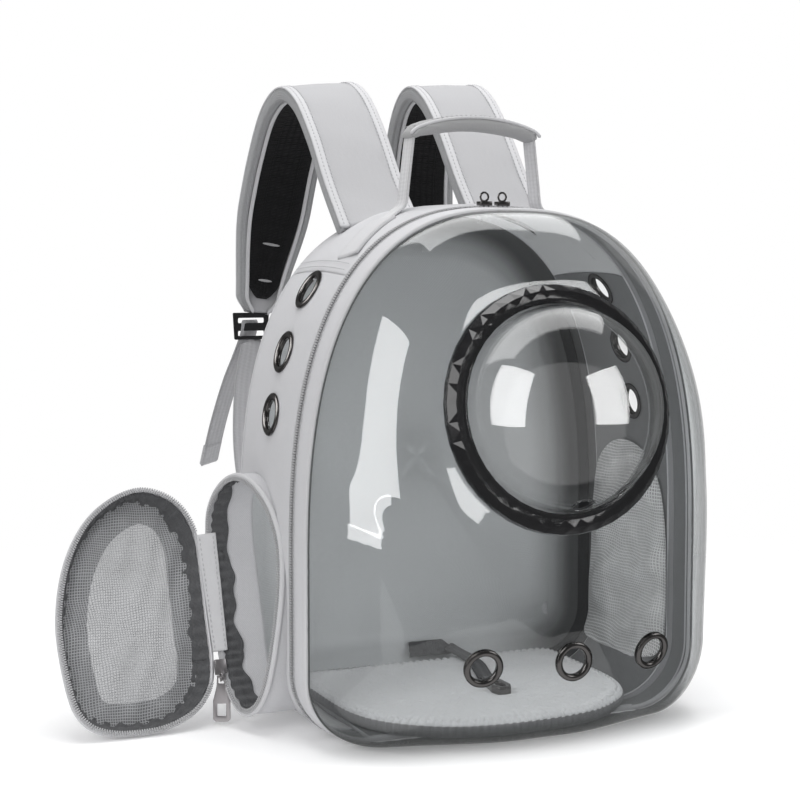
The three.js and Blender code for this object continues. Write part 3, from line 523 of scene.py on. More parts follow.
def thicken(thing: bpy.types.Object, thickness: float, inner: int) -> None:
    """Gives an open sheet its thickness, with the inner face in another of its materials.

    Args:
        thing: the piece.
        thickness: how thick its wall gets, inwards.
        inner: the step from a face's material to the one behind it.
    """
    wall = thing.modifiers.new("wall", "SOLIDIFY")
    wall.thickness = thickness
    wall.offset = -1.0
    wall.material_offset = inner
    wall.use_quality_normals = True


def swell(thing: bpy.types.Object, voxel: float, pressure: float, cap: float, frames: int = 20) -> None:
    """Fills a padded piece by a short cloth simulation without gravity, and keeps the result.

    Args:
        thing: the piece, which is remeshed evenly.
        voxel: the size of the new faces.
        pressure: the push from inside.
        cap: the furthest that a point may move.
        frames: how many steps the simulation runs.
    """
    scene = bpy.context.scene
    even = thing.modifiers.new("even", "REMESH")
    even.mode = "VOXEL"
    even.voxel_size = voxel
    even.use_smooth_shade = True
    mesh = bpy.data.meshes.new_from_object(thing.evaluated_get(bpy.context.evaluated_depsgraph_get()))
    thing.modifiers.clear()
    thing.data = mesh
    before = [vert.co.copy() for vert in mesh.vertices]
    cloth = thing.modifiers.new("cloth", "CLOTH")
    cloth.settings.use_pressure = True
    cloth.settings.uniform_pressure_force = pressure
    cloth.settings.effector_weights.gravity = 0.0
    cloth.point_cache.frame_start, cloth.point_cache.frame_end = 1, frames
    for number in range(1, frames + 1):
        scene.frame_set(number)
    settled = thing.evaluated_get(bpy.context.evaluated_depsgraph_get())
    moved = [vert.co.copy() for vert in settled.data.vertices]
    thing.modifiers.clear()
    scene.frame_set(1)
    for vert, old, new in zip(mesh.vertices, before, moved):
        shift = new - old
        vert.co = old + shift * min(1.0, cap / max(shift.length, FINE))
    fine = thing.modifiers.new("fine", "SUBSURF")
    fine.levels = fine.render_levels = 1
    LOG.info("%s: %d simulated faces", thing.name, len(mesh.polygons))


def lay_cloth(bm: BMesh, lay: Callable[[Vector], tuple[float, float]]) -> None:
    """Gives a mesh its cloth coordinates.

    Args:
        bm: the mesh.
        lay: the coordinates of a point, in metres.
    """
    maps = bm.loops.layers.uv
    layer = maps[CLOTH_MAP] if CLOTH_MAP in maps.keys() else maps.new(CLOTH_MAP)
    for face in bm.faces:
        for loop in face.loops:
            loop[layer].uv = lay(loop.vert.co)


def grid(across: int, along: int, place: Place, cloth: tuple[float, float] = (1.0, 1.0),
         merge: bool = False) -> BMesh:
    """A grid that is bent to a shape.

    Args:
        across: its faces along u.
        along: its faces along v.
        place: where the point at u, v from 0 to 1 goes.
        cloth: its flat size, which scales the cloth coordinates.
        merge: True where edges meet and close.

    Returns:
        The mesh.
    """
    bm = bmesh.new()
    bmesh.ops.create_grid(bm, x_segments=across, y_segments=along, size=0.5)
    spots = {vert: (vert.co.x + 0.5, vert.co.y + 0.5) for vert in bm.verts}
    lay_cloth(bm, lambda at: ((at.x + 0.5) * cloth[0], (at.y + 0.5) * cloth[1]))
    for vert, (u, v) in spots.items():
        vert.co = place(min(max(u, 0.0), 1.0), min(max(v, 0.0), 1.0))
    if merge:
        bmesh.ops.remove_doubles(bm, verts=bm.verts, dist=FINE)
    return bm


def face_from(bm: BMesh, centre: Vector) -> BMesh:
    """Turns the faces of an open sheet away from a point.

    Args:
        bm: the sheet.
        centre: the point.

    Returns:
        The same sheet.
    """
    bm.normal_update()
    away = sum(f.normal.dot(f.calc_center_median() - centre) * f.calc_area() for f in bm.faces)
    if away < 0:
        bmesh.ops.reverse_faces(bm, faces=bm.faces)
    return bm


def face_along(bm: BMesh, way: Vector) -> BMesh:
    """Turns the faces of an open sheet to look along a direction."""
    bm.normal_update()
    if sum(f.normal.dot(way) * f.calc_area() for f in bm.faces) < 0:
        bmesh.ops.reverse_faces(bm, faces=bm.faces)
    return bm


def closed_out(bm: BMesh) -> BMesh:
    """Turns the faces of a closed mesh outwards."""
    bmesh.ops.recalc_face_normals(bm, faces=bm.faces)
    return bm


def carve(bm: BMesh, inside: Callable[[Vector], bool], snap: Callable[[Vector], Vector]) -> None:
    """Opens a hole: faces inside go, and what is left of the edge moves to the hole's outline.

    Args:
        bm: the mesh.
        inside: tells whether a point lies in the hole.
        snap: the point of the outline for a point near it.
    """
    within = {vert for vert in bm.verts if inside(vert.co)}
    doomed = [f for f in bm.faces if all(v in within for v in f.verts)]
    bmesh.ops.delete(bm, geom=doomed, context="FACES")
    for vert in bm.verts:
        if vert in within:
            vert.co = snap(vert.co)


def bore(bm: BMesh, centre: Vector, axis: Vector, radius: float, reach: float = 0.03) -> None:
    """Opens a round hole.

    Args:
        bm: the mesh.
        centre: the middle of the hole.
        axis: the way through it.
        radius: its radius.
        reach: how far from the middle points may be taken.
    """
    def radial(point: Vector) -> Vector:
        """The way from the axis to a point."""
        gap = point - centre
        return gap - axis * gap.dot(axis)

    def inside(point: Vector) -> bool:
        """True where a point lies in the hole."""
        return (point - centre).length < reach and radial(point).length < radius

    def snap(point: Vector) -> Vector:
        """The nearest point of the hole's edge."""
        out = radial(point)
        return point - out + out.normalized() * radius

    carve(bm, inside, snap)


def catmull(table: Sequence[Sequence[float]], count: int, closed: bool) -> np.ndarray:
    """Points evenly spaced on a smooth curve through a short table.

    Args:
        table: the points that it passes.
        count: how many points come back.
        closed: True for a loop, whose first point isn't repeated.

    Returns:
        An array with a row for each point.
    """
    points = np.array(table, float)
    total = len(points)
    spans = total if closed else total - 1
    take = (lambda i: points[i % total]) if closed else (lambda i: points[min(max(i, 0), total - 1)])
    dense = []
    for i in range(spans):
        p0, p1, p2, p3 = take(i - 1), take(i), take(i + 1), take(i + 2)
        for t in np.linspace(0, 1, 24, endpoint=False):
            dense.append(0.5 * (2 * p1 + (p2 - p0) * t + (2 * p0 - 5 * p1 + 4 * p2 - p3) * t ** 2
                                + (3 * p1 - p0 - 3 * p2 + p3) * t ** 3))
    dense.append(points[0] if closed else points[-1])
    dense = np.array(dense)
    length = np.concatenate([[0], np.cumsum(np.linalg.norm(np.diff(dense, axis=0), axis=1))])
    wanted = np.linspace(0, length[-1], count, endpoint=not closed)
    return np.stack([np.interp(wanted, length, dense[:, k]) for k in range(dense.shape[1])], axis=1)


def offset_loop(loop: np.ndarray, distance: float) -> np.ndarray:
    """Moves a closed flat loop sideways.

    Args:
        loop: its points.
        distance: how far it moves outwards, or inwards where it is negative.

    Returns:
        The moved points.
    """
    along = np.roll(loop, -1, axis=0) - np.roll(loop, 1, axis=0)
    along /= np.linalg.norm(along, axis=1, keepdims=True)
    following = np.roll(loop, -1, axis=0)
    area = np.sum(loop[:, 0] * following[:, 1] - following[:, 0] * loop[:, 1])
    turn = 1.0 if area > 0 else -1.0
    return loop + turn * distance * np.stack([along[:, 1], -along[:, 0]], axis=1)


_OFFSETS: dict[tuple[int, float], np.ndarray] = {}


def offset_at(loop: np.ndarray, distance: float) -> np.ndarray:
    """A loop's offset at a distance rounded to a fiftieth of a millimetre, kept for the next call."""
    key = (id(loop), round(distance * 5e4) / 5e4)
    if key not in _OFFSETS:
        _OFFSETS[key] = offset_loop(loop, key[1])
    return _OFFSETS[key]


def on_curve(curve: np.ndarray, part: float) -> list[float]:
    """The point at a share of an open curve's steps."""
    last = len(curve) - 1
    return [float(np.interp(part * last, range(last + 1), values)) for values in curve.T]


def on_loop(loop: np.ndarray, part: float) -> np.ndarray:
    """The point a part of the way round a closed loop."""
    spot = (part % 1.0) * len(loop)
    low = int(spot) % len(loop)
    return loop[low] + (loop[(low + 1) % len(loop)] - loop[low]) * (spot - int(spot))


def in_loop(loop: np.ndarray, a: float, b: float) -> bool:
    """Tests if a point lies inside a closed flat loop.

    Args:
        loop: the loop's points.
        a: the point's first coordinate.
        b: its second one.

    Returns:
        True where it lies inside.
    """
    x, y = loop[:, 0], loop[:, 1]
    nx, ny = np.roll(x, -1), np.roll(y, -1)
    crosses = (y > b) != (ny > b)
    with np.errstate(divide="ignore", invalid="ignore"):
        where = x + (b - y) / (ny - y) * (nx - x)
    return bool(np.sum(crosses & (a < where)) % 2)


@dataclass(frozen=True)
class BodyForm:
    """The carrier's outline from the front, its depth and the bulge of its cover, in metres."""

    half_width: float = 0.173
    height: float = 0.415
    corner: float = 0.053
    arch_start: float = 0.135
    arch_power: float = 2.6
    depth: float = 0.180
    swell_share: float = 0.016
    cover_depth: float = 0.130
    cover_lean: float = 0.187
    cover_centre: float = 0.200
    seat_blend: float = 0.165
    seam_gap: float = 0.0034
    ring_z: float = 0.264
    ring_y: float = -0.081
    ring_seat: float = 0.104
    base_steps: int = 20
    arch_steps: int = 140

    @cached_property
    def half(self) -> np.ndarray:
        """The right half of the outline from the middle of the base to the top, as x and z."""
        inner = self.half_width - self.corner
        base = [(x, 0.0) for x in np.linspace(0, inner, self.base_steps, endpoint=False)]
        turn = np.linspace(0, math.pi / 2, 28, endpoint=False)
        corner = [(inner + self.corner * math.sin(a), self.corner * (1 - math.cos(a))) for a in turn]
        side = [(self.half_width, z) for z in np.linspace(self.corner, self.arch_start, 14, endpoint=False)]
        power = 2 / self.arch_power
        rise = self.height - self.arch_start
        arch = [(self.half_width * max(math.cos(a), 0.0) ** power,
                 self.arch_start + rise * math.sin(a) ** power)
                for a in np.linspace(0, math.pi / 2, self.arch_steps)]
        return np.array(base + corner + side + arch)

    @cached_property
    def loop(self) -> tuple[np.ndarray, np.ndarray, np.ndarray]:
        """The whole outline: arc length, points and outward directions."""
        left = self.half[1:-1][::-1] * np.array([-1.0, 1.0])
        points = np.vstack([self.half, left, self.half[:1]])
        length = np.concatenate([[0], np.cumsum(np.linalg.norm(np.diff(points, axis=0), axis=1))])
        along = np.gradient(points, length, axis=0)
        out = np.stack([along[:, 1], -along[:, 0]], axis=1)
        out[0] = out[-1] = (0.0, -1.0)
        out /= np.linalg.norm(out, axis=1, keepdims=True)
        return length, points, out

    @property
    def girth(self) -> float:
        """The outline's length."""
        return float(self.loop[0][-1])

    def at_height(self, z: float) -> float:
        """How far round the right half a height lies."""
        length, points, _ = self.loop
        rising = slice(self.base_steps, len(self.half))
        return float(np.interp(z, points[rising, 1], length[rising]))

    def swell(self, y: float) -> float:
        """How much wider the body is at a depth than at the seam."""
        return 1 + self.swell_share * math.sin(math.pi * min(max(y / self.depth, 0.0), 1.0))

    def outline(self, s: float) -> tuple[float, float, float, float]:
        """A point of the outline and the way outwards there."""
        length, points, out = self.loop
        s %= length[-1]
        return tuple(float(np.interp(s, length, row)) for row in (*points.T, *out.T))

    def outward(self, s: float) -> Vector:
        """The way outwards from the outline."""
        _, _, ox, oz = self.outline(s)
        return Vector((ox, 0.0, oz))

    def wall(self, s: float, y: float, lift: float = 0.0) -> Vector:
        """A point of the wall, lifted off it by a distance."""
        x, z, ox, oz = self.outline(s)
        grow = self.swell(y)
        return seam(x * grow + ox * lift, y, z * grow + oz * lift)

    def wall_x(self, y: float, z: float) -> float:
        """The right wall's distance from the middle at a height."""
        grow = self.swell(y)
        x, height = self.half[self.base_steps:].T
        return grow * float(np.interp(z / grow, height, x))

    def wall_out(self, y: float, z: float) -> Vector:
        """The way outwards from the right wall at a height."""
        slope = (self.wall_x(y, z + 0.002) - self.wall_x(y, z - 0.002)) / 0.004
        return Vector((1.0, 0.0, -slope)).normalized()

    def top_z(self, x: float, y: float) -> float:
        """The top's height at a distance from the middle."""
        grow = self.swell(y)
        arch = self.half[-self.arch_steps:][::-1]
        return grow * float(np.interp(abs(x) / grow, arch[:, 0], arch[:, 1]))

    @cached_property
    def reach(self) -> tuple[np.ndarray, np.ndarray]:
        """Angles about the cover's middle and the distances to the seam there."""
        points = self.loop[1][:-1]
        angle = np.arctan2(points[:, 1] - self.cover_centre, points[:, 0])
        size = np.hypot(points[:, 0], points[:, 1] - self.cover_centre)
        order = np.argsort(angle)
        return angle[order], size[order]

    def cover(self, x: float, z: float) -> Vector:
        """A point of the clear cover.

        Args:
            x: its place across.
            z: its height.

        Returns:
            The point on the bulging film.
        """
        size = math.hypot(x, z - self.cover_centre)
        angle, reach = self.reach
        limit = float(np.interp(math.atan2(z - self.cover_centre, x), angle, reach, period=2 * math.pi))
        share = min(size / limit, 1.0)
        boxy = (1 - share ** 3) ** (1 / 3)
        high = ease(0.02, 0.28, z)
        rounded = (1 - share ** mix(2.6, 5.0, high)) ** (1 / mix(1.35, 1.45, high))
        bulge = mix(boxy, rounded, ease(0.10, 0.80, abs(x) / max(size, FINE)))
        free = -self.seam_gap - (self.cover_depth - self.cover_lean * z) * bulge
        seat = self.ring_y + self.cover_lean * (z - self.ring_z)
        held = 1 - ease(self.ring_seat - 0.002, self.seat_blend, math.hypot(x, z - self.ring_z))
        return seam(x, mix(free, seat, held * (1 - share ** 8)), z)

    def cover_out(self, x: float, z: float) -> Vector:
        """The way outwards from the cover."""
        step = 0.004
        up = self.cover(x, z + step) - self.cover(x, z - step)
        across = self.cover(x + step, z) - self.cover(x - step, z)
        return across.cross(up).normalized()

    @property
    def ring_axis(self) -> Vector:
        """The way the dome looks."""
        return Vector((0.0, -1.0, self.cover_lean)).normalized()

    @property
    def ring_centre(self) -> Vector:
        """The middle of the ring's seat."""
        return seam(0.0, self.ring_y, self.ring_z)


FORM = BodyForm()
JOIN_Z = 0.3607
BASE_EDGE = 0.120
TOP_EDGE = FORM.at_height(JOIN_Z)
PANEL = (0.0340, 0.1536)


@dataclass
class Line:
    """A line in space with a side for each point, for stitches, teeth and bands."""

    points: list[Vector]
    ups: list[Vector]

    def evenly(self, pitch: float) -> list[tuple[Vector, Vector, Vector]]:
        """Spreads places along the line.

        Args:
            pitch: how far apart they are.

        Returns:
            Each place with its way along and up.
        """
        gaps = [(b - a).length for a, b in zip(self.points, self.points[1:])]
        length = np.concatenate([[0], np.cumsum(gaps)])
        count = max(int(length[-1] / pitch), 1)
        spots = []
        for s in np.linspace(pitch / 2, length[-1] - pitch / 2, count):
            i = min(int(np.searchsorted(length, s, side="right")) - 1, len(gaps) - 1)
            part = (s - length[i]) / max(gaps[i], FINE)
            along = (self.points[i + 1] - self.points[i]).normalized()
            spots.append((self.points[i].lerp(self.points[i + 1], part), along,
                          self.ups[i].lerp(self.ups[i + 1], part).normalized()))
        return spots


def basis(place: Vector, along: Vector, up: Vector, size: Sequence[float]) -> Matrix:
    """A matrix that puts a unit shape at a place, long along one way and high along another."""
    side = up.cross(along).normalized()
    top = along.cross(side).normalized()
    turn = Matrix((along, side, top)).transposed().to_4x4()
    return Matrix.Translation(place) @ turn @ Matrix.Diagonal((*size, 1.0))


def stitches(lines: Iterable[Line], pitch: float = 0.0042, length: float = 0.0031,
             width: float = 0.0009) -> BMesh:
    """Sewn stitches along lines, each a small spindle of thread.

    Args:
        lines: the lines.
        pitch: from one stitch to the next.
        length: one stitch's length.
        width: the thread's width.

    Returns:
        The mesh of all stitches.
    """
    bm = bmesh.new()
    for line in lines:
        for place, along, up in line.evenly(pitch):
            matrix = basis(place, along, up, (length / 2, width / 2, width / 2.4))
            bmesh.ops.create_icosphere(bm, subdivisions=1, radius=1.0, matrix=matrix)
    return bm


def teeth(lines: Iterable[Line], pitch: float, size: tuple[float, float, float]) -> BMesh:
    """Zip teeth along lines, each a small bar across the line.

    Args:
        lines: the lines.
        pitch: from one tooth to the next.
        size: a tooth's size along, across and up.

    Returns:
        The mesh of all teeth.
    """
    bm = bmesh.new()
    for line in lines:
        for place, along, up in line.evenly(pitch):
            bmesh.ops.create_cube(bm, size=1.0, matrix=basis(place, along, up, size))
    bmesh.ops.bevel(bm, geom=bm.edges, offset=min(size) * 0.22, affect="EDGES", segments=1, profile=0.5,
                    material=-1)
    return bm


@dataclass
class Ribbon:
    """A flat band along a curve, with a rounded section."""

    points: np.ndarray
    across: Vector
    width: float
    thick: float
    lift: float = 0.0
    square: float = 5.0
    shift: float = 0.0
    taper: Callable[[float], float] = field(default=lambda part: 1.0)

    def frames(self) -> list[tuple[Vector, Vector, Vector, Vector]]:
        """Each point, moved sideways by the shift, with its way along, across and up."""
        rows = []
        last = len(self.points) - 1
        for i, spot in enumerate(self.points):
            along = Vector(self.points[min(i + 1, last)] - self.points[max(i - 1, 0)]).normalized()
            wide = (self.across - along * self.across.dot(along)).normalized()
            place = seam(*spot) + wide * (self.shift * self.taper(i / last))
            rows.append((place, along, wide, wide.cross(along).normalized()))
        return rows

    def line(self, side: float, rise: float, start: float = 0.0, end: float = 1.0) -> Line:
        """A line along the band.

        Args:
            side: its place across, as a part of the half width.
            rise: its height over the band's path.
            start: the part of the length where it starts.
            end: the part where it ends.

        Returns:
            The line.
        """
        rows = self.frames()
        last = len(rows) - 1
        kept = range(int(start * last), int(end * last) + 1)
        spots = [rows[i][0] + rows[i][2] * (side * self.width / 2 * self.taper(i / last)) + rows[i][3] * rise
                 for i in kept]
        return Line(spots, [rows[i][3] for i in kept])

    def mesh(self, sides: int = 28, ruffle: Height | None = None) -> BMesh:
        """The band's closed mesh.

        Args:
            sides: points round its section.
            ruffle: extra height at a part of its length and of its half width.

        Returns:
            The mesh, with rounded ends.
        """
        rows = self.frames()
        last = len(rows) - 1
        length = sum((b[0] - a[0]).length for a, b in zip(rows, rows[1:]))
        close = self.thick / 2
        power = 2 / self.square

        def place(u: float, v: float) -> Vector:
            """A point along the band and round its section."""
            i = min(int(u * last), last - 1)
            part = u * last - i
            (p, _, w, n), (q, _, w2, n2) = rows[i], rows[i + 1]
            end = min(u, 1 - u) * length
            round_end = math.sqrt(max(1 - (1 - min(end / close, 1.0)) ** 2, 0.0))
            c, s = math.cos(2 * math.pi * v), math.sin(2 * math.pi * v)
            wide = math.copysign(abs(c) ** power, c)
            high = math.copysign(abs(s) ** power, s)
            over = ruffle(u, wide) if ruffle and high > 0 else 0.0
            rise = self.lift + (high * self.thick / 2 + over) * round_end
            half = self.width / 2 * (1.0 if self.shift else self.taper(u))
            side = wide * (half - close * (1 - round_end))
            return p.lerp(q, part) + w.lerp(w2, part) * side + n.lerp(n2, part) * rise

        bm = grid(last, sides, place, (length, 2 * (self.width + self.thick)), merge=True)
        return closed_out(bm)


def softened(node: str, width: float, segments: int = 2) -> BMesh:
    """Copies a solid and rounds its edges over.

    Args:
        node: the solid's name.
        width: how wide the rounding is.
        segments: its faces across.

    Returns:
        The rounded mesh.
    """
    bm = bmesh.new()
    bm.from_mesh(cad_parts[node].data)
    bmesh.ops.remove_doubles(bm, verts=bm.verts, dist=FINE)
    bmesh.ops.dissolve_limit(bm, angle_limit=math.radians(2), verts=bm.verts, edges=bm.edges)
    edges = [e for e in bm.edges if e.is_manifold and e.calc_face_angle() > math.radians(25)]
    bmesh.ops.bevel(bm, geom=edges, offset=width, affect="EDGES", segments=segments, profile=0.5,
                    material=-1, clamp_overlap=True)
    return bm


@dataclass
class Eyelet:
    """A rolled metal eyelet through a wall."""

    place: Vector
    axis: Vector
    front: float
    back: float
    bore: float = 0.0102
    flange: float = 0.0150

    def mesh(self) -> BMesh:
        """The eyelet: a rolled rim in front, a barrel and a washer behind."""
        roll = [(self.flange + 0.0002, 0.0), (self.flange, 0.0009), (self.flange - 0.0014, 0.0018),
                (self.flange - 0.0030, 0.0019), (self.bore + 0.0007, 0.0013), (self.bore, 0.0002)]
        profile = [(r, self.front + s) for r, s in roll]
        profile += [(self.bore, -self.back - 0.0008), (self.bore + 0.001, -self.back - 0.0014),
                    (self.flange - 0.001, -self.back - 0.0012), (self.flange, -self.back - 0.0004),
                    (self.flange - 0.0004, -self.back), (self.bore + 0.0013, -self.back),
                    (self.bore + 0.0013, self.front), (self.flange + 0.0002, self.front)]
        return lathe(profile, self.place, self.axis, 40)


def spun(profile: Sequence[tuple[float, float]], steps: int) -> BMesh:
    """Spins a profile about Z.

    Args:
        profile: its points, as radius and height.
        steps: its faces round Z.

    Returns:
        The mesh.
    """
    bm = bmesh.new()
    verts = [bm.verts.new((r, 0.0, s)) for r, s in profile]
    edges = [bm.edges.new(pair) for pair in zip(verts, verts[1:])]
    bmesh.ops.spin(bm, geom=verts + edges, cent=(0, 0, 0), axis=(0, 0, 1), angle=2 * math.pi, steps=steps,
                   use_merge=True)
    bmesh.ops.remove_doubles(bm, verts=bm.verts, dist=FINE)
    return bm


def lathe(profile: Sequence[tuple[float, float]], place: Vector, axis: Vector,
          steps: int) -> BMesh:
    """Turns a closed piece about an axis.

    Args:
        profile: its section, as radius and height.
        place: where the section's zero lies.
        axis: the axis through it.
        steps: its faces round the axis.

    Returns:
        The mesh.
    """
    bm = spun(profile, steps)
    turn = axis.to_track_quat("Z", "Y").to_matrix().to_4x4()
    bmesh.ops.transform(bm, matrix=Matrix.Translation(place) @ turn, verts=bm.verts)
    lay_cloth(bm, lambda at: (at.x, at.z))
    return closed_out(bm)


@dataclass
class Shell:
    """The cloth body: panels, zip, piping and side eyelets."""

    making: Making
    eyelet_y: float = 0.087
    eyelet_z: tuple[float, ...] = (0.352, 0.302, 0.252)
    hole: float = 0.0134
    wall: float = 0.0025
    back_start: float = 0.154
    back_radius: float = 0.026

    def eyelets(self, side: int) -> list[tuple[Vector, Vector]]:
        """The side eyelets' places on the wall's outer face.

        Args:
            side: 1 for the right wall, -1 for the left one.

        Returns:
            Each place with its axis.
        """
        rows = []
        for z in self.eyelet_z:
            out = FORM.wall_out(self.eyelet_y, z)
            axis = Vector((side * out.x, 0.0, out.z))
            rows.append((seam(side * FORM.wall_x(self.eyelet_y, z), self.eyelet_y, z), axis))
        return rows

    def line(self, turns: np.ndarray, y: float, lift: float) -> Line:
        """A line round the body at a depth, lifted off the wall."""
        return Line([FORM.wall(s, y, lift) for s in turns], [FORM.outward(s) for s in turns])

    def panel(self, first: float, last: float, y: tuple[float, float], cells: tuple[int, int],
              puff: float, crease: float) -> BMesh:
        """A stretch of wall that puffs a little between its seams.

        Args:
            first: where it starts round the outline.
            last: where it ends.
            y: its front and back edge behind the seam.
            cells: its faces round and along the body.
            puff: how far it stands out between its seams.
            crease: how deep its creases are.

        Returns:
            The mesh, facing outwards.
        """
        def place(u: float, v: float) -> Vector:
            """A point of the wall, lifted by the puff and the creases."""
            s = mix(first, last, u)
            depth = mix(y[0], y[1], v)
            bare = FORM.wall(s, depth)
            edge = min(v, 1 - v) * (y[1] - y[0])
            rounded = 1 - (1 - min(edge / 0.010, 1.0)) ** 2
            lift = puff * rounded + crease * rounded * ripple(bare, 0.045, 3.0)
            lift += 0.4 * crease * rounded * ripple(bare, 0.017, 8.0)
            return FORM.wall(s, depth, lift)

        size = (abs(last - first), y[1] - y[0])
        return face_from(grid(*cells, place, size), seam(0.0, 0.09, 0.2))

    def build_sides(self, door: "Door", window: "Window") -> None:
        """Both side panels, with the door's mouth, the mesh window and the eyelet holes.

        Args:
            door: the door, whose mouth is cut in the left panel.
            window: the window that is cut in the right panel.
        """
        for side, word in ((1, "right"), (-1, "left")):
            span = (BASE_EDGE, TOP_EDGE) if side > 0 else (FORM.girth - BASE_EDGE, FORM.girth - TOP_EDGE)
            bm = self.panel(*span, PANEL, (210, 64), 0.0006, 0.0009)
            loop = window.loop if side > 0 else door.mouth

            def within(point: Vector, loop: np.ndarray = loop) -> bool:
                """True where a point lies in the opening."""
                return in_loop(loop, point.y + SEAM_TO_ORIGIN, point.z)

            def snap(point: Vector, loop: np.ndarray = loop, side: int = side) -> Vector:
                """The nearest point of the opening's edge."""
                gaps = np.hypot(loop[:, 0] - point.y - SEAM_TO_ORIGIN, loop[:, 1] - point.z)
                y, z = loop[int(np.argmin(gaps))]
                return seam(side * FORM.wall_x(y, z), y, z)

            carve(bm, within, snap)
            for place, axis in self.eyelets(side):
                bore(bm, place, axis, self.hole)
            # Painted light and shade: the far wall's inner face takes the shaded copy of the lining, the near
            # wall's the lit one.
            inside = Finish.SHADED_INSIDE if side > 0 else Finish.LIT_INSIDE
            self.making.piece(f"side_cloth_{word}", bm, (Finish.CLOTH, inside),
                              replaces=[f"side_panel_{word}"], wall=self.wall)
            size = (0.0026, 0.0112, 0.0162) if side > 0 else (0.0010, 0.0120, 0.0174)
            for i, (place, axis) in enumerate(self.eyelets(side)):
                name = f"side_eyelet_{word}_{i + 1}"
                self.making.piece(f"rolled_{name}", Eyelet(place, axis, 0.0009, *size).mesh(),
                                  (Finish.DARK_METAL,), replaces=[name])

    def build_top(self) -> None:
        """The top panel, the base and the padded back."""
        bm = self.panel(TOP_EDGE, FORM.girth - TOP_EDGE, PANEL, (130, 60), 0.0010, 0.0010)
        # Painted light: the top's inner face takes the lit copy of the lining.
        self.making.piece("top_cloth", bm, (Finish.CLOTH, Finish.LIT_INSIDE), replaces=["top_panel"],
                          wall=self.wall)
        low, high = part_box("base_panel")
        half = BASE_EDGE - 0.0004

        def base(u: float, v: float) -> Vector:
            """A point of the flat base."""
            return Vector((mix(-half, half, u), mix(low.y, high.y, v), 0.0))

        bm = face_along(grid(24, 16, base, (2 * half, high.y - low.y)), Vector((0, 0, -1)))
        # Painted shade: the base's inner face takes the shaded copy of the lining.
        self.making.piece("base_cloth", bm, (Finish.CLOTH, Finish.SHADED_INSIDE), replaces=["base_panel"],
                          wall=0.004)
        start, radius = self.back_start, self.back_radius

        def back(u: float, v: float) -> Vector:
            """A point of the back: round the corner first, then over the pad to its middle."""
            x, z, ox, oz = FORM.outline(u * FORM.girth)
            grow = FORM.swell(start)
            if v < 0.3:
                angle = v / 0.3 * math.pi / 2
                inset, y = radius * (1 - math.cos(angle)), start + radius * math.sin(angle)
                return seam(x * grow - ox * inset, y, z * grow - oz * inset)
            part = (v - 0.3) / 0.7
            edge = Vector((x * grow - ox * radius, z * grow - oz * radius))
            flat = Vector((0.0, 0.20)).lerp(edge, 1 - part)
            pad = 0.0025 * math.sin(min(part * 5, 1.0) * math.pi / 2)
            rise = pad + 0.0008 * ripple(Vector((flat.x, 0.0, flat.y)), 0.05, 2.0) * ease(0.95, 0.5, part)
            quilted = 0.002 * math.exp(-((part - 0.05) / 0.02) ** 2)
            return seam(flat.x, start + radius + rise - quilted, flat.y)

        bm = face_along(grid(240, 60, back, (FORM.girth, 0.25), merge=True), Vector((0, 1, 0)))
        # Painted shade: the back's inner face darkens towards its far and upper corner.
        self.making.piece("back_cloth", bm, (Finish.CLOTH, Finish.BACK_INSIDE), replaces=["back_panel"],
                          wall=self.wall)

    def build_corner_shade_tape(self) -> None:
        """The dark seam tape in the corner between the far wall and the back; it runs only along that far
        corner, where shade falls, so it is partly painted shade.
        """
        inner = 0.0222
        last = next(s for s in np.linspace(BASE_EDGE, FORM.girth / 2, 300) if FORM.outline(s)[1] > 0.35)

        def tape(u: float, v: float) -> Vector:
            """A point of the tape along and across the corner."""
            x, z, ox, oz = FORM.outline(mix(BASE_EDGE, last, u))
            angle = math.radians(mix(24.0, 52.0, v))
            inset = self.back_radius - inner * math.cos(angle)
            grow = FORM.swell(self.back_start)
            y = self.back_start + inner * math.sin(angle)
            return seam(x * grow - ox * inset, y, z * grow - oz * inset)

        bm = face_along(grid(160, 8, tape, (last, 0.03)), Vector((0, -1, 0)))
        # Partly painted shade: the dark tape runs only along the far corner, where shade falls.
        self.making.piece("back_corner_shade_tape", bm, (Finish.SEAM_SHADE_TAPE,), wall=0.0006)

    def build_front(self) -> None:
        """The front band, the main zip with its teeth, the piping on the seam, and a dark strip of painted
        shade in the groove behind it.
        """
        first, last = BASE_EDGE, FORM.girth - BASE_EDGE
        bm = self.panel(first, last, (0.0034, 0.0240), (300, 14), 0.0012, 0.0004)
        # Painted shade: the front band's inner face takes the shaded copy of the lining.
        self.making.piece("front_band_cloth", bm, (Finish.CLOTH, Finish.SHADED_INSIDE), replaces=["front_band"],
                          wall=self.wall)

        def tape(u: float, v: float) -> Vector:
            """A point of the zip's tape."""
            return FORM.wall(mix(first, last, u), mix(0.0232, 0.0348, v), 0.0)

        bm = face_from(grid(300, 6, tape, (last - first, 0.0116)), seam(0, 0.03, 0.2))
        self.making.piece("main_zip_tape", bm, (Finish.TAPE,), replaces=["main_zip"], wall=0.0012)
        turns = np.linspace(first + 0.004, last - 0.004, 500)
        lines = [self.line(turns, y, 0.0009) for y in (0.0276, 0.0298)]
        self.making.piece("main_zip_teeth", teeth(lines, 0.0021, (0.0013, 0.0024, 0.0014)), (Finish.TEETH,))
        for word in ("left", "right"):
            node = f"main_zip_slider_{word}"
            self.making.piece(f"cast_{node}", softened(node, 0.0005), (Finish.DARK_METAL,), replaces=[node],
                              sharp=HARD_EDGE)

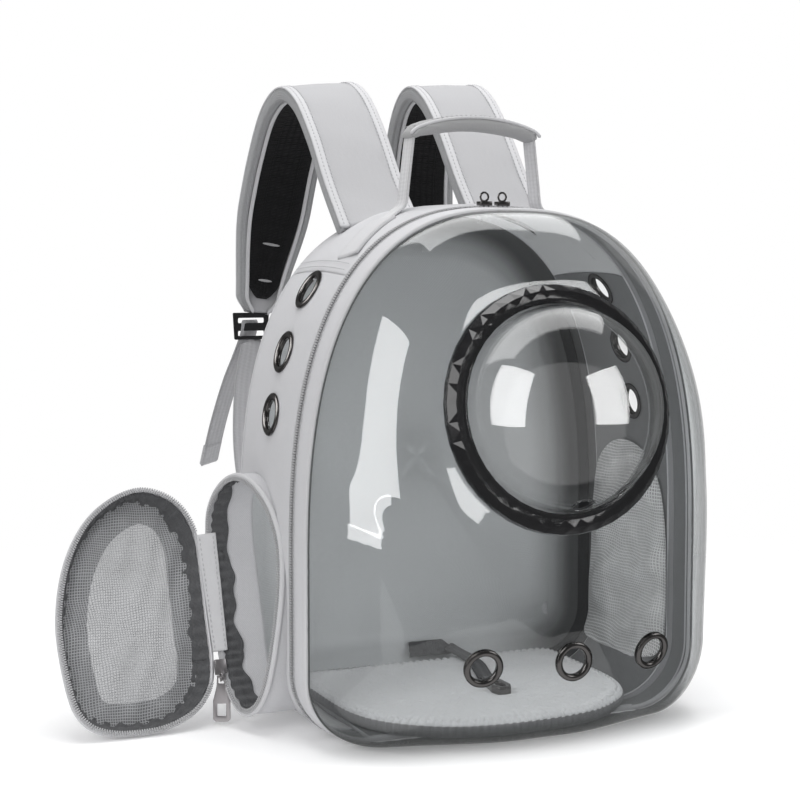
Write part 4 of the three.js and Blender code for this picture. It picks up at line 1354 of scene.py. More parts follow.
        def pipe(u: float, v: float) -> Vector:
            """A point round the piping, which is pressed flat under the base."""
            x, z, ox, oz = FORM.outline(u * FORM.girth)
            free = min(max((z - 0.004) / 0.030, 0.0), 1.0)
            radius = 0.0020 + 0.0004 * free
            angle = 2 * math.pi * v
            lift = -radius + 0.0024 * free + radius * math.sin(angle)
            return seam(x + ox * lift, radius * math.cos(angle) - 0.0006, z + oz * lift)

        bm = closed_out(grid(420, 12, pipe, (FORM.girth, 0.02), merge=True))
        self.making.piece("seam_piping", bm, (Finish.TRIM,), replaces=["piping"])

        def groove(u: float, v: float) -> Vector:
            """A point of the dark strip in the groove behind the piping, painted shade of the groove."""
            return FORM.wall(mix(first, last, u), mix(0.0004, 0.0050, v), mix(-0.0012, 0.0002, v))

        # Painted shade: a dark strip on the seam allowance between the piping and the band stands for the
        # groove's shadow line.
        bm = face_from(grid(300, 4, groove, (last - first, 0.005)), seam(0, 0.03, 0.2))
        self.making.piece("front_groove_shade_strip", bm, (Finish.SEAM_SHADE_TAPE,), wall=0.0006)

    def build_stitching(self) -> None:
        """The double rows on the top joins and the row beside the zip."""
        lines = []
        for side in (1, -1):
            for shift in (0.004, 0.010):
                s = TOP_EDGE + shift if side > 0 else FORM.girth - TOP_EDGE - shift
                ys = np.linspace(PANEL[0] + 0.004, PANEL[1] - 0.004, 40)
                lines.append(Line([FORM.wall(s, y, 0.0021) for y in ys], [FORM.outward(s)] * len(ys)))
        turns = np.linspace(BASE_EDGE + 0.02, FORM.girth - BASE_EDGE - 0.02, 400)
        lines.append(self.line(turns, 0.0208, 0.0016))
        self.making.piece("body_stitching", stitches(lines), (Finish.THREAD,))


@dataclass
class Cover:
    """The clear bulging front with its eyelets, the dome and the faceted ring."""

    making: Making
    thickness: float = 0.0012
    eyelet_x: tuple[float, ...] = (-0.072, 0.0, 0.072)
    eyelet_z: float = 0.077
    hole: float = 0.084
    dome_radius: float = 0.078
    dome_rise: float = 0.070
    vents: tuple[float, ...] = (90.0, 61.0, 32.0)
    vent_lift: float = 20.0
    vent_radius: float = 0.008
    diamonds: int = 40

    def build_film(self) -> None:
        """The cover, from the seam to the hole behind the dome."""
        axis = FORM.ring_axis

        def place(u: float, v: float) -> Vector:
            """A point of the film, from the seam in to the hole's edge."""
            x, z, *_ = FORM.outline(u * FORM.girth)
            angle = math.atan2(z - FORM.ring_z, x)
            rim_x = self.hole * math.cos(angle)
            rim_z = FORM.ring_z - axis.y * self.hole * math.sin(angle)
            part = v ** 3 * 0.65 + v ** 2 * 0.35
            return FORM.cover(mix(x, rim_x, part), mix(z, rim_z, part))

        bm = face_from(grid(320, 84, place, (FORM.girth, 0.25), merge=True), seam(0, 0.05, 0.2))
        seats = [(FORM.cover(x, self.eyelet_z), FORM.cover_out(x, self.eyelet_z)) for x in self.eyelet_x]
        for spot, out in seats:
            bore(bm, spot, out, 0.0119)
        self.making.piece("clear_film", bm, (Finish.CLEAR,), replaces=["clear_cover"], wall=self.thickness)
        for i, (spot, out) in enumerate(seats):
            node = f"cover_eyelet_{i + 1}"
            self.making.piece(f"rolled_{node}", Eyelet(spot, out, 0.0004, 0.0016).mesh(),
                              (Finish.DARK_METAL,), replaces=[node])

    def turn(self) -> Matrix:
        """Places the dome's own frame, whose Z looks out and whose Y looks down, on the cover."""
        out = FORM.ring_axis
        right = Vector((1.0, 0.0, 0.0))
        down = right.cross(out) * -1.0
        if down.z > 0:
            down.negate()
        rows = Matrix((right, down, out)).transposed().to_4x4()
        return Matrix.Translation(FORM.ring_centre) @ rows

    def build_dome(self) -> None:
        """The dome with its flange and three vents."""
        foot, radius = 0.0024, self.dome_radius
        arc = np.linspace(0, math.pi / 2, 44)
        profile = [(0.090, foot - 0.001), (radius + 0.003, foot - 0.001)]
        profile += [(radius * math.cos(a), foot + self.dome_rise * math.sin(a)) for a in arc]
        bm = face_along(closed_out(spun(profile, 180)), Vector((0, 0, 1)))
        rims = bmesh.new()
        lift = math.radians(self.vent_lift)
        for degrees in self.vents:
            turn = math.radians(degrees)
            way = Vector((math.cos(turn) * math.cos(lift), math.sin(turn) * math.cos(lift), math.sin(lift)))
            spot = Vector((way.x * radius, way.y * radius, foot + way.z * self.dome_rise))
            out = Vector((way.x / radius, way.y / radius, way.z / self.dome_rise)).normalized()
            bore(bm, spot, out, self.vent_radius)
            ring = [(self.vent_radius + 0.0005 * math.cos(a), 0.0007 * math.sin(a) - 0.0004)
                    for a in np.linspace(0, 2 * math.pi, 9)]
            edge = lathe(ring, spot, out, 36)
            hold = bpy.data.meshes.new("vent")
            edge.to_mesh(hold)
            edge.free()
            rims.from_mesh(hold)
            bpy.data.meshes.remove(hold)
        for mesh in (bm, rims):
            bmesh.ops.transform(mesh, matrix=self.turn(), verts=mesh.verts)
        self.making.piece("clear_dome", bm, (Finish.DOME,), replaces=["dome"], wall=0.002)
        self.making.piece("dome_vent_edges", closed_out(rims), (Finish.VENT,))

    def build_ring(self) -> None:
        """The gloss ring: one wedge of its diamond facets, repeated round."""
        step = 2 * math.pi / self.diamonds
        half = step / 2
        inner, crest, outer = (0.0795, 0.0084), (0.0882, 0.0112), (0.0957, 0.0056)
        bm = bmesh.new()

        def vert(radius: float, angle: float, height: float) -> bmesh.types.BMVert:
            """A corner of the wedge."""
            return bm.verts.new((radius * math.cos(angle), radius * math.sin(angle), height))

        lip = [vert(0.0795, a, 0.0030) for a in (-half, half)]
        low = [vert(inner[0], a, inner[1]) for a in (-half, half)]
        bead = [vert(0.0818, a, 0.0098) for a in (-half, half)]
        dip = [vert(0.0836, a, 0.0092) for a in (-half, half)]
        top = vert(crest[0] + 0.0012, 0.0, crest[1] + 0.0002)
        valley = [vert(crest[0] + 0.0012, a, crest[1] - 0.0011) for a in (-half, half)]
        rim = [vert(outer[0] - 0.0010, a, outer[1]) for a in (-half, half)]
        skirt = [vert(outer[0] - 0.0004, a, 0.0032) for a in (-half, half)]
        foot = [vert(outer[0] - 0.0004, a, 0.0004) for a in (-half, half)]
        under = [vert(0.0909, a, 0.0004) for a in (-half, half)]
        shelf = [vert(0.0909, a, 0.0030) for a in (-half, half)]
        for a, b in ((lip, low), (low, bead), (bead, dip), (rim, skirt), (skirt, foot), (foot, under),
                     (under, shelf), (shelf, lip)):
            bm.faces.new((a[0], b[0], b[1], a[1]))
        for corners in ((dip[0], valley[0], top), (dip[0], top, dip[1]), (dip[1], top, valley[1]),
                        (valley[0], rim[0], top), (rim[0], rim[1], top), (rim[1], valley[1], top)):
            bm.faces.new(corners)
        bmesh.ops.spin(bm, geom=bm.verts[:] + bm.edges[:] + bm.faces[:], cent=(0, 0, 0), axis=(0, 0, 1),
                       angle=2 * math.pi - step, steps=self.diamonds - 1, use_duplicate=True)
        bmesh.ops.remove_doubles(bm, verts=bm.verts, dist=1e-5)
        bmesh.ops.transform(bm, matrix=self.turn(), verts=bm.verts)
        self.making.piece("diamond_ring", closed_out(bm), (Finish.GLOSS,), body=LOCK_RING,
                          replaces=["dome_ring"], sharp=12)


MOUTH = [
    (0.103, 0.053), (0.112, 0.077), (0.1213, 0.1005), (0.1305, 0.124), (0.1397, 0.148), (0.142, 0.170),
    (0.133, 0.189), (0.116, 0.200), (0.097, 0.199), (0.079, 0.190), (0.062, 0.175), (0.048, 0.152),
    (0.0405, 0.120), (0.039, 0.085), (0.041, 0.048), (0.048, 0.026), (0.060, 0.016), (0.075, 0.018),
    (0.090, 0.031),
]
DOOR_RIM = [
    (0.008, -0.006), (0.008, 0.028), (0.008, 0.062), (0.009, 0.096), (0.018, 0.120), (0.034, 0.134),
    (0.055, 0.139), (0.079, 0.131), (0.101, 0.113), (0.118, 0.085), (0.128, 0.052), (0.131, 0.018),
    (0.126, -0.028), (0.116, -0.048), (0.099, -0.057), (0.075, -0.0595), (0.050, -0.057), (0.026, -0.046),
    (0.012, -0.028),
]
WINDOW = [
    (0.146, 0.060), (0.151, 0.100), (0.150, 0.145), (0.142, 0.178), (0.122, 0.198), (0.097, 0.204),
    (0.072, 0.196), (0.054, 0.174), (0.044, 0.140), (0.041, 0.100), (0.042, 0.064), (0.049, 0.038),
    (0.064, 0.027), (0.095, 0.024), (0.126, 0.028), (0.140, 0.040),
]
NET_EDGE = [
    (0.166, 0.060), (0.161, 0.100), (0.158, 0.150), (0.149, 0.190), (0.126, 0.211), (0.097, 0.216),
    (0.067, 0.207), (0.045, 0.182), (0.035, 0.145), (0.032, 0.100), (0.033, 0.062), (0.038, 0.036),
    (0.052, 0.027), (0.095, 0.023), (0.140, 0.023), (0.163, 0.030),
]


@dataclass
class Door:
    """The open side door, its collar and its zip."""

    making: Making
    foot: tuple[float, float, float] = (-0.208, 0.105, 0.0585)
    lean: float = 0.387
    slope: float = 0.365
    depth: float = 0.015
    window: float = 0.026
    gather_depth: float = 0.010
    bow: float = 0.004
    hinge: tuple[float, float] = (-0.025, 0.098)
    mouth: np.ndarray = field(default_factory=lambda: catmull(MOUTH, 300, True))
    rim: np.ndarray = field(default_factory=lambda: catmull(DOOR_RIM, 300, True))

    @property
    def up(self) -> Vector:
        """The way up the hinge."""
        return Vector((0.0, math.sin(self.lean), math.cos(self.lean)))

    @property
    def face(self) -> Vector:
        """The way the door's inside looks."""
        return Vector((0.0, -math.cos(self.lean), math.sin(self.lean)))

    def spot(self, out: float, up: float, face: float) -> Vector:
        """A point of the door from the hinge outwards, up the hinge and off its plane."""
        return seam(*self.foot) + Vector((-out, 0.0, 0.0)) + self.up * up + self.face * face

    def ahead(self, y: float, z: float) -> float:
        """How far a point lies in front of the hinge."""
        return (y - self.foot[1]) * self.face.y + (z - self.foot[2]) * self.face.z

    def rim_x(self, y: float, z: float) -> float:
        """Where the collar's slanted rim stands."""
        return self.foot[0] + self.slope * self.ahead(y, z)

    def at_hinge(self, y: float, z: float) -> bool:
        """True where the hinge strip covers the collar's rim."""
        rise = (y - self.foot[1]) * self.up.y + (z - self.foot[2]) * self.up.z
        return self.ahead(y, z) < 0.006 and self.hinge[0] < rise < self.hinge[1]

    def build_collar(self) -> None:
        """The collar, its gathered lining, its piping and the zip on its rim."""
        middle = seam(-0.19, 0.09, 0.105)

        def outer(u: float, v: float) -> Vector:
            """A point of the collar round the mouth and from its rim to the wall."""
            y, z = on_loop(self.mouth, u)
            wall = -FORM.wall_x(y, z) + 0.006
            x = mix(self.rim_x(y, z), wall, v)
            part = 0.0012 * math.sin(math.pi * v) / self.bow
            bowed_y, bowed_z = on_loop(self.bowed, u)
            rough = Vector((0, 0, 0.0005 * ripple(seam(x, y, z), 0.02)))
            return seam(x, mix(y, bowed_y, part), mix(z, bowed_z, part)) + rough

        bm = face_from(grid(220, 14, outer, (0.5, 0.05), merge=True), middle)
        # Painted shade: the collar's inner face takes a shaded copy of the lining.
        self.making.piece("collar_cloth", bm, (Finish.CLOTH, Finish.SHADED_MOUTH_INSIDE), replaces=["door_collar"],
                          wall=0.002)

        def pleats(u: float, v: float) -> Vector:
            """A point of the gathers inside the mouth, from the rim inwards."""
            fold = 0.5 + 0.5 * math.sin(2 * math.pi * (52 * u + 0.35 * math.sin(2 * math.pi * 5 * u)))
            depth = 0.0026 + 0.0028 * fold * math.sin(math.pi * min(v * 0.8 + 0.2, 1.0))
            depth += 0.0014 * ripple(Vector((u * 9, v * 2, 0.3)), 0.3)
            y, z = on_loop(offset_at(self.mouth, -depth), u)
            # Painted shade: the dark gathers reach further in near the hinge side, where shade falls, and
            # further low down; the ripple makes their reach ragged.
            wide = max(1.4 * ease(0.045, 0.010, self.ahead(y, z)), 1.7 * ease(0.080, 0.050, z), 0.7)
            ragged_shade_reach = self.gather_depth * wide * (1 + 0.40 * ripple(Vector((u * 24, 0.0, 0.0)), 1.0))
            return seam(self.rim_x(y, z) + 0.0006 + ragged_shade_reach * v, y, z)

        bm = face_from(grid(560, 8, pleats, (0.55, 0.012), merge=True), middle)
        bmesh.ops.reverse_faces(bm, faces=bm.faces)
        lining = self.making.piece("collar_gathers", bm, (Finish.LINING,), replaces=["collar_lining"],
                                   wall=0.0006)

        def bead(u: float, v: float) -> Vector:
            """A point round the piping on the rim."""
            angle = 2 * math.pi * v
            y, z = on_loop(offset_at(self.mouth, 0.0002 + 0.0020 * math.cos(angle)), u)
            return seam(self.rim_x(y, z) - 0.0004 + 0.0020 * math.sin(angle), y, z)

        bm = closed_out(grid(260, 10, bead, (0.56, 0.015), merge=True))
        self.making.piece("collar_piping", bm, (Finish.TRIM,))
        free = list(offset_loop(self.mouth, -0.0022))
        start = next(i for i, p in enumerate(free) if self.at_hinge(*free[i - 1]) and not self.at_hinge(*p))
        run = [p for p in free[start:] + free[:start] if not self.at_hinge(*p)]
        self.zip_along([seam(self.rim_x(*p) - 0.0022, *p) for p in run], Vector((-1, 0, 0)), "collar_zip")

    @cached_property
    def bowed(self) -> np.ndarray:
        """The mouth's outline a little further out."""
        return offset_loop(self.mouth, self.bow)

    def zip_along(self, spots: list[Vector], up: Vector, node: str) -> None:
        """Two rows of teeth along a rim.

        Args:
            spots: the points along the rim.
            up: the way that the teeth look.
            node: the CAD node of the zip.
        """
        ups = [up] * len(spots)
        rows = []
        for shift in (-0.0010, 0.0010):
            moved = []
            for i, spot in enumerate(spots):
                along = (spots[min(i + 1, len(spots) - 1)] - spots[max(i - 1, 0)]).normalized()
                moved.append(spot + along.cross(up).normalized() * shift)
            rows.append(Line(moved, ups))
        self.making.piece(f"{node}_teeth", teeth(rows, 0.0020, (0.0012, 0.0021, 0.0018)), (Finish.TEETH,),
                          replaces=[node])

    def ring(self, u: float, inset: float, face: float) -> Vector:
        """A point of the door at an inset from its rim."""
        out, up = on_loop(offset_at(self.rim, -inset), u)
        return self.spot(out, up, face)

    def build_leaf(self) -> None:
        """The door's tray, its wrinkled lining, its net window, its zip and its piping."""
        profile = [(0.0, 0.0), (0.0, -0.003), (0.0006, -0.008), (0.0022, -0.0122), (0.006, -0.0146),
                   (0.012, -0.015), (0.020, -0.015), (self.window, -0.015)]
        curve = catmull(profile, 33, False)

        def tray(u: float, v: float) -> Vector:
            """A point of the tray, from its rim over the side to the net."""
            return self.ring(u, *on_curve(curve, v))

        bm = face_along(grid(240, 32, tray, (0.55, 0.04), merge=True), self.face * -1)
        # Painted shade: the tray's inner face takes the darker zip-tape grey for the shade inside the tray
        # behind the net.
        self.making.piece("door_cloth", bm, (Finish.CLOTH, Finish.TAPE), replaces=["door_tray"], wall=0.0018)

        def lining(u: float, v: float) -> Vector:
            """A point of the gathers in the tray, from the rim to the net."""
            gather = math.sin(2 * math.pi * (44 * u + 0.4 * math.sin(2 * math.pi * 3 * u)))
            out, up = on_loop(self.rim, u)
            # Painted shade: the dark gathers widen toward the hinge side, where shade falls, and toward the
            # bottom.
            share = max(1.15 * ease(0.100, 0.020, out), 0.8 * ease(-0.035, -0.055, up), 0.42)
            wide = self.gather_depth * share * (1 + 0.35 * ripple(Vector((u * 16, 0.0, 2.0)), 1.0))
            inset = 0.0030 + wide * v
            sink = -0.0008 - (self.depth - 0.0052) * (1 - (1 - v) ** 2)
            crumple = 0.0009 * gather * (1 - 0.5 * v) + 0.0012 * ripple(Vector((u * 26, v * 3, 1.0)), 0.5)
            return self.ring(u, inset + max(crumple, -0.0006), sink + max(crumple, -0.0006) * 0.8)

        bm = face_along(grid(460, 14, lining, (0.52, 0.018), merge=True), self.face)
        border = self.making.piece("door_gathers", bm, (Finish.LINING,), replaces=["door_lining"],
                                   wall=0.0005)

        foot = seam(*self.foot)

        def net(u: float, v: float) -> Vector:
            """A point of the net, from its edge to the middle."""
            out, up = on_loop(offset_at(self.rim, -0.0062), u)
            middle = self.rim.mean(axis=0)
            out, up = mix(out, middle[0], v), mix(up, middle[1], v)
            wave = 0.0010 * math.sin(95 * up + 240 * out + 3 * ripple(Vector((out, up, 0.0)), 0.05, 1.0))
            sag = (wave + 0.0016 * ripple(Vector((out, up, 0.0)), 0.024, 5.0)) * ease(0.0, 0.12, v)
            return self.spot(out, up, -self.depth + 0.0048 + sag)

        bm = face_along(grid(220, 60, net, (1.0, 1.0), merge=True), self.face)
        lay_cloth(bm, lambda at: ((at - foot).x, (at - foot).dot(self.up)))
        window = self.making.piece("door_net", bm, (Finish.NET,), replaces=["door_mesh"])

        covered = [p[0] < 0.020 and self.hinge[0] < p[1] < self.hinge[1] for p in self.rim]
        start = next(i for i, hid in enumerate(covered) if covered[i - 1] and not hid)
        order = [(start + k) % len(self.rim) for k in range(len(self.rim))]
        edge = offset_loop(self.rim, -0.001)
        spots = [self.spot(*edge[i], 0.0020) for i in order if not covered[i]]
        self.zip_along(spots, self.face, "door_zip")

        def bead(u: float, v: float) -> Vector:
            """A point round the piping on the rim."""
            angle = 2 * math.pi * v
            return self.ring(u, 0.0006 + 0.0022 * math.cos(angle), -0.0030 + 0.0026 * math.sin(angle))

        bm = closed_out(grid(260, 10, bead, (0.56, 0.015), merge=True))
        self.making.piece("door_piping", bm, (Finish.TRIM,))

    def build_hinge(self) -> None:
        """The cloth hinge strip with its stitching, the slider and the pull."""
        table = [(-0.0055, 0.0064), (-0.002, 0.0062), (0.002, 0.0050), (0.006, 0.0030), (0.0098, 0.0016)]
        path = catmull(table, 25, False)

        def strip(u: float, v: float) -> Vector:
            """A point of the strip across and up the hinge."""
            out, face = on_curve(path, u)
            lift = 0.0004 * ripple(Vector((u, v * 4, 0.0)), 0.4)
            narrow = mix(0.72, 1.0, v)
            return self.spot(mix(0.002, out, narrow), mix(-0.001, 0.097, v), face + lift)

        bm = face_along(grid(24, 60, strip, (0.024, 0.098)), self.face)
        hinge = self.making.piece("hinge_strip_cloth", bm, (Finish.TRIM,), replaces=["door_hinge_strip"],
                                  wall=0.0014)
        lines = []
        for u in (0.16, 0.86):
            spots = [strip(u, v) + self.face * 0.0002 for v in np.linspace(0.02, 0.98, 30)]
            lines.append(Line(spots, [self.face] * len(spots)))
        self.making.piece("hinge_stitching", stitches(lines), (Finish.THREAD,))
        self.making.piece("cast_door_slider", softened("door_zip_slider", 0.0004), (Finish.STEEL,),
                          replaces=["door_zip_slider"], sharp=HARD_EDGE)
        self.making.piece("cast_door_pull", softened("door_zip_pull", 0.0003), (Finish.STEEL,), body=PULL_TAB,
                          replaces=["door_zip_pull"], sharp=HARD_EDGE)


@dataclass
class Window:
    """The mesh window in the far side panel."""

    making: Making
    loop: np.ndarray = field(default_factory=lambda: catmull(WINDOW, 260, True))
    edge: np.ndarray = field(default_factory=lambda: catmull(NET_EDGE, 260, True))

    def lifted(self, y: float, z: float, lift: float) -> Vector:
        """A point off the right wall."""
        out = FORM.wall_out(y, z)
        return seam(FORM.wall_x(y, z) + out.x * lift, y, z + out.z * lift)

    def build(self) -> None:
        """The net with its soft folds, and the binding round it."""
        middle = self.loop.mean(axis=0)

        def net(u: float, v: float) -> Vector:
            """A point of the net, from its edge to the middle."""
            y, z = on_loop(self.edge, u)
            y, z = mix(y, middle[0], v), mix(z, middle[1], v)
            fold = math.sin(2 * math.pi * (z * 16 + y * 7) + 2.2 * ripple(Vector((y, z, 0)), 0.05))
            sag = -0.0044 - ease(0.0, 0.3, v) * (0.0040 + 0.0032 * fold)
            return self.lifted(y, z, sag)

        bm = face_along(grid(220, 60, net, (1.0, 1.0), merge=True), Vector((1, 0, 0)))
        lay_cloth(bm, lambda at: (at.y, at.z))
        sheet = self.making.piece("window_net", bm, (Finish.WALL_NET,), replaces=["window_mesh_right"])

        def binding(u: float, v: float) -> Vector:
            """A point of the binding round and across."""
            inset = mix(-0.001, 0.008, v)
            y, z = on_loop(offset_at(self.loop, inset), u)
            return self.lifted(y, z, 0.0012 + 0.0014 * math.sin(math.pi * v))

        bm = face_along(grid(220, 8, binding, (0.55, 0.009), merge=True), Vector((1, 0, 0)))
        self.making.piece("window_binding", bm, (Finish.TRIM,), replaces=["window_binding_right"],
                          wall=0.0012)


STRAP_PATH = [
    (0.062, 0.119, 0.3995), (0.062, 0.128, 0.409), (0.062, 0.160, 0.442), (0.062, 0.196, 0.485),
    (0.0625, 0.232, 0.517), (0.064, 0.268, 0.528), (0.067, 0.303, 0.511), (0.0705, 0.330, 0.470),
    (0.076, 0.345, 0.420), (0.084, 0.352, 0.368), (0.090, 0.354, 0.324),
]
STRAP_STEPS = 150
WEBBING_PATH = [
    (0.0965, 0.3575, 0.298), (0.0968, 0.357, 0.290), (0.107, 0.345, 0.250), (0.119, 0.308, 0.188),
    (0.124, 0.246, 0.116), (0.123, 0.198, 0.074), (0.122, 0.1834, 0.056), (0.122, 0.1822, 0.034),
]
TAIL_PATH = [
    (0.0965, 0.3609, 0.318), (0.0975, 0.3623, 0.305), (0.103, 0.371, 0.283), (0.111, 0.379, 0.257),
    (0.121, 0.388, 0.216), (0.126, 0.404, 0.174),
]


@dataclass
class Straps:
    """Both shoulder straps with their linings, bindings, adjusters and webbing."""

    making: Making
    width: float = 0.071
    outer: float = 0.0075
    lining: float = 0.005
    inset: float = 0.0095
    length: float = 0.46
    end_share: float = 0.58
    tilt: tuple[float, float] = (0.10, 0.055)
    rise: tuple[float, float] = (0.0, 0.004)

    def build(self) -> None:
        """Builds the strap on each side."""
        for side, word, tilt, rise in zip((-1, 1), ("left", "right"), self.tilt, self.rise):
            mirror = np.array([side, 1.0, 1.0])
            path = catmull(STRAP_PATH, STRAP_STEPS, False) * mirror
            path[:, 2] += rise * np.sin(np.linspace(0, math.pi, STRAP_STEPS))
            self.build_pad(path, Vector((1.0, 0.0, tilt)).normalized(), word)
            self.build_webbing(mirror, word)

    def narrow(self, part: float) -> float:
        """The strap's share of its full width along its length."""
        taper = 1 - (1 - self.end_share) * ease(0.76, 1.0, part)
        return taper - 0.5 * self.end_share * ease(0.955, 1.0, part) ** 2

    def seated(self, bm: BMesh) -> BMesh:
        """Ends a strap's root in the cloth of the top panel.

        Args:
            bm: the mesh of one strap piece.

        Returns:
            The same mesh, with nothing of its root inside the cabin.
        """
        for vert in bm.verts:
            if vert.co.y < 0.075:
                vert.co.z = max(vert.co.z, FORM.top_z(abs(vert.co.x), vert.co.y) - 0.0015)
        return bm

    def build_pad(self, path: np.ndarray, across: Vector, word: str) -> None:
        """The padded strap: cloth outside, black air mesh inside, mesh sides, bound edges and stitching.

        Args:
            path: the line of the strap's middle.
            across: the way across it.
            word: the side, for the pieces' names.
        """
        half, top = self.width / 2, self.outer - 0.0010

        def band(name: str, finish: Finish, width: float, low: float, high: float, shift: float) -> None:
            """A narrow band along the strap, between two heights and off its middle."""
            ribbon = Ribbon(path, across, width, high - low, (low + high) / 2, 4.0, shift, self.narrow)
            self.making.piece(f"strap_{name}_{word}", self.seated(ribbon.mesh(18)), (finish,))

        def crown(u: float, wide: float) -> float:
            """How far the padding stands up."""
            return 0.0012 * (1 - wide ** 4) + 0.0003 * math.sin(u * 61.0 + 3 * wide)

        outer = Ribbon(path, across, self.width - 0.003, self.outer, top - self.outer / 2, 9.0,
                       taper=self.narrow)
        # Painted shade: the strap takes the darker copy of the body cloth.
        pad = self.making.piece(f"strap_cloth_{word}", self.seated(outer.mesh(36, crown)),
                                (Finish.SHADED_STRAP_CLOTH,), replaces=[f"strap_{word}"])
        inner = Ribbon(path[:-5], across * -1, self.width - 2 * self.inset, self.lining,
                       0.0013 + self.lining / 2, 5.0, taper=self.narrow)

        def ribs(u: float, wide: float) -> float:
            """The waves of the quilted lining."""
            wave = math.sin(2 * math.pi * (u * self.length / 0.0075 + 0.5 * math.sin(7 * wide)))
            return 0.0009 * wave * (1 - wide ** 6)

        mesh = self.making.piece(f"strap_air_mesh_{word}", self.seated(inner.mesh(40, ribs)),
                                 (Finish.STRAP_MESH,), replaces=[f"strap_lining_{word}"])
        for part, side in (("a", -1), ("b", 1)):
            band(f"gusset_{part}", Finish.EDGE_MESH, 0.0080, -0.0060, top + 0.0002, side * (half - 0.0040))
            band(f"binding_{part}", Finish.TRIM, 0.0085, top - 0.0008, top + 0.0012, side * (half - 0.0043))
            band(f"lining_binding_{part}", Finish.TRIM, 0.0036, -0.0074, -0.0050, side * (half - 0.0090))
        rows = [outer.line(part, top + 0.0013, 0.01, 0.99) for part in (-0.93, -0.80, 0.80, 0.93)]
        self.making.piece(f"strap_stitching_{word}", stitches(rows), (Finish.THREAD,))
        tacks = bmesh.new()
        frames = inner.frames()
        for part, long in ((0.88, 0.0090), (0.965, 0.0070)):
            place, _, wide, up = frames[int(part * (len(frames) - 1))]
            spot = place + up * (0.0013 + self.lining + 0.0006)
            matrix = basis(spot, wide, up, (long, 0.0013, 0.0009))
            bmesh.ops.create_uvsphere(tacks, u_segments=16, v_segments=8, radius=1.0, matrix=matrix)
        self.making.piece(f"strap_tacks_{word}", tacks, (Finish.TAPE,))

    def build_webbing(self, mirror: np.ndarray, word: str) -> None:
        """The adjuster, the lower webbing and its free tail with a folded end.

        Args:
            mirror: the factors that turn the right side's paths into this side's.
            word: the side, for the pieces' names.
        """
        across = Vector((1.0, -0.36 * mirror[0], 0.0)).normalized()
        node = f"strap_adjuster_{word}"
        self.making.piece(f"moulded_{node}", softened(node, 0.0012, 3), (Finish.PLASTIC,), replaces=[node],
                          sharp=HARD_EDGE)
        low = Ribbon(catmull(WEBBING_PATH, 110, False) * mirror, across, 0.025, 0.0018, square=8.0)
        self.making.piece(f"lower_webbing_{word}", low.mesh(20), (Finish.WEBBING,),
                          replaces=[f"strap_webbing_{word}"])
        across = Vector((1.0, -0.70 * mirror[0], 0.0)).normalized()
        tail = Ribbon(catmull(TAIL_PATH, 70, False) * mirror, across, 0.025, 0.0018, square=8.0)
        self.making.piece(f"free_tail_{word}", tail.mesh(20), (Finish.WEBBING,),
                          replaces=[f"strap_tail_{word}"])
        fold = Ribbon(tail.points[-12:], across, 0.0252, 0.0046, 0.0006, 5.0)
        self.making.piece(f"tail_fold_{word}", fold.mesh(20), (Finish.WEBBING,))


HANDLE_ARCH = [
    (-0.0580, 0.4728), (-0.0510, 0.4800), (-0.028, 0.4866), (0.0, 0.4891), (0.028, 0.4866), (0.0510, 0.4800),
    (0.0580, 0.4728),
]


@dataclass
class Handle:
    """The carrying handle: two webbing legs sewn to the top, and a padded grip."""

    making: Making
    y: float = 0.072
    leg_top: float = 0.476
    skew: float = 0.018

    def build(self) -> None:
        """Builds the legs, their sewn feet and the grip."""
        rise = 0.0018
        lines = []
        for side, word in ((-1, "left"), (1, "right")):
            mirror = np.array([side, 1.0, 1.0])
            sewn = []
            for x in (0.117, 0.108, 0.098, 0.088, 0.078):
                y = self.y - self.skew * (x - 0.070) / 0.047
                sewn.append((x, y, FORM.top_z(x, y) + rise))
            foot = FORM.top_z(0.064, self.y) + rise
            leg = [(0.067, foot + 0.0012), (0.0615, foot + 0.007), (0.0592, foot + 0.024),
                   (0.0548, self.leg_top)]
            path = catmull(sewn + [(x, self.y, z) for x, z in leg], 90, False) * mirror
            across = Vector((0.0, -side, 0.0))
            band = Ribbon(path, across, 0.019, 0.0022, square=8.0)
            self.making.piece(f"handle_leg_{word}", band.mesh(20), (Finish.PALE_WEBBING,),
                              replaces=[f"handle_webbing_{word}"])
            patch = Ribbon(catmull(sewn, 40, False) * mirror, across, 0.030, 0.0030, square=8.0)
            self.making.piece(f"handle_foot_{word}", patch.mesh(20), (Finish.TRIM,))
            lines += [patch.line(part, 0.0019, 0.04, 0.96) for part in (-0.86, -0.45, 0.45, 0.86)]
        self.making.piece("handle_stitching", stitches(lines), (Finish.TAPE,))
        arch = catmull(HANDLE_ARCH, 120, False)
        path = np.stack([arch[:, 0], np.full(len(arch), self.y), arch[:, 1]], axis=1)
        grip = Ribbon(path, Vector((0.0, -1.0, 0.0)), 0.029, 0.0105, square=2.6)

        def creases(u: float, _wide: float) -> float:
            """The creases and the narrowing at the grip's ends."""
            end = min(u, 1 - u)
            return 0.0007 * math.sin(u * 90.0) * ease(0.25, 0.0, end) - 0.0028 * ease(0.10, 0.0, end)

        # Painted shade: the grip takes the darker copy of the body cloth.
        pad = self.making.piece("handle_pad", grip.mesh(32, creases), (Finish.SHADED_GRIP_CLOTH,),
                                replaces=["handle_grip"])
        swell(pad, 0.004, 3.0, 0.002)
        edge = Ribbon(path[3:-3], Vector((0.0, -1.0, 0.0)), 0.0030, 0.0026, 0.0034, 3.0, 0.0122)
        self.making.piece("handle_pad_binding", edge.mesh(12), (Finish.TRIM,))
        seams = [grip.line(part, 0.0054, 0.05, 0.95) for part in (-0.55, 0.55)]
        self.making.piece("handle_pad_stitching", stitches(seams), (Finish.THREAD,))


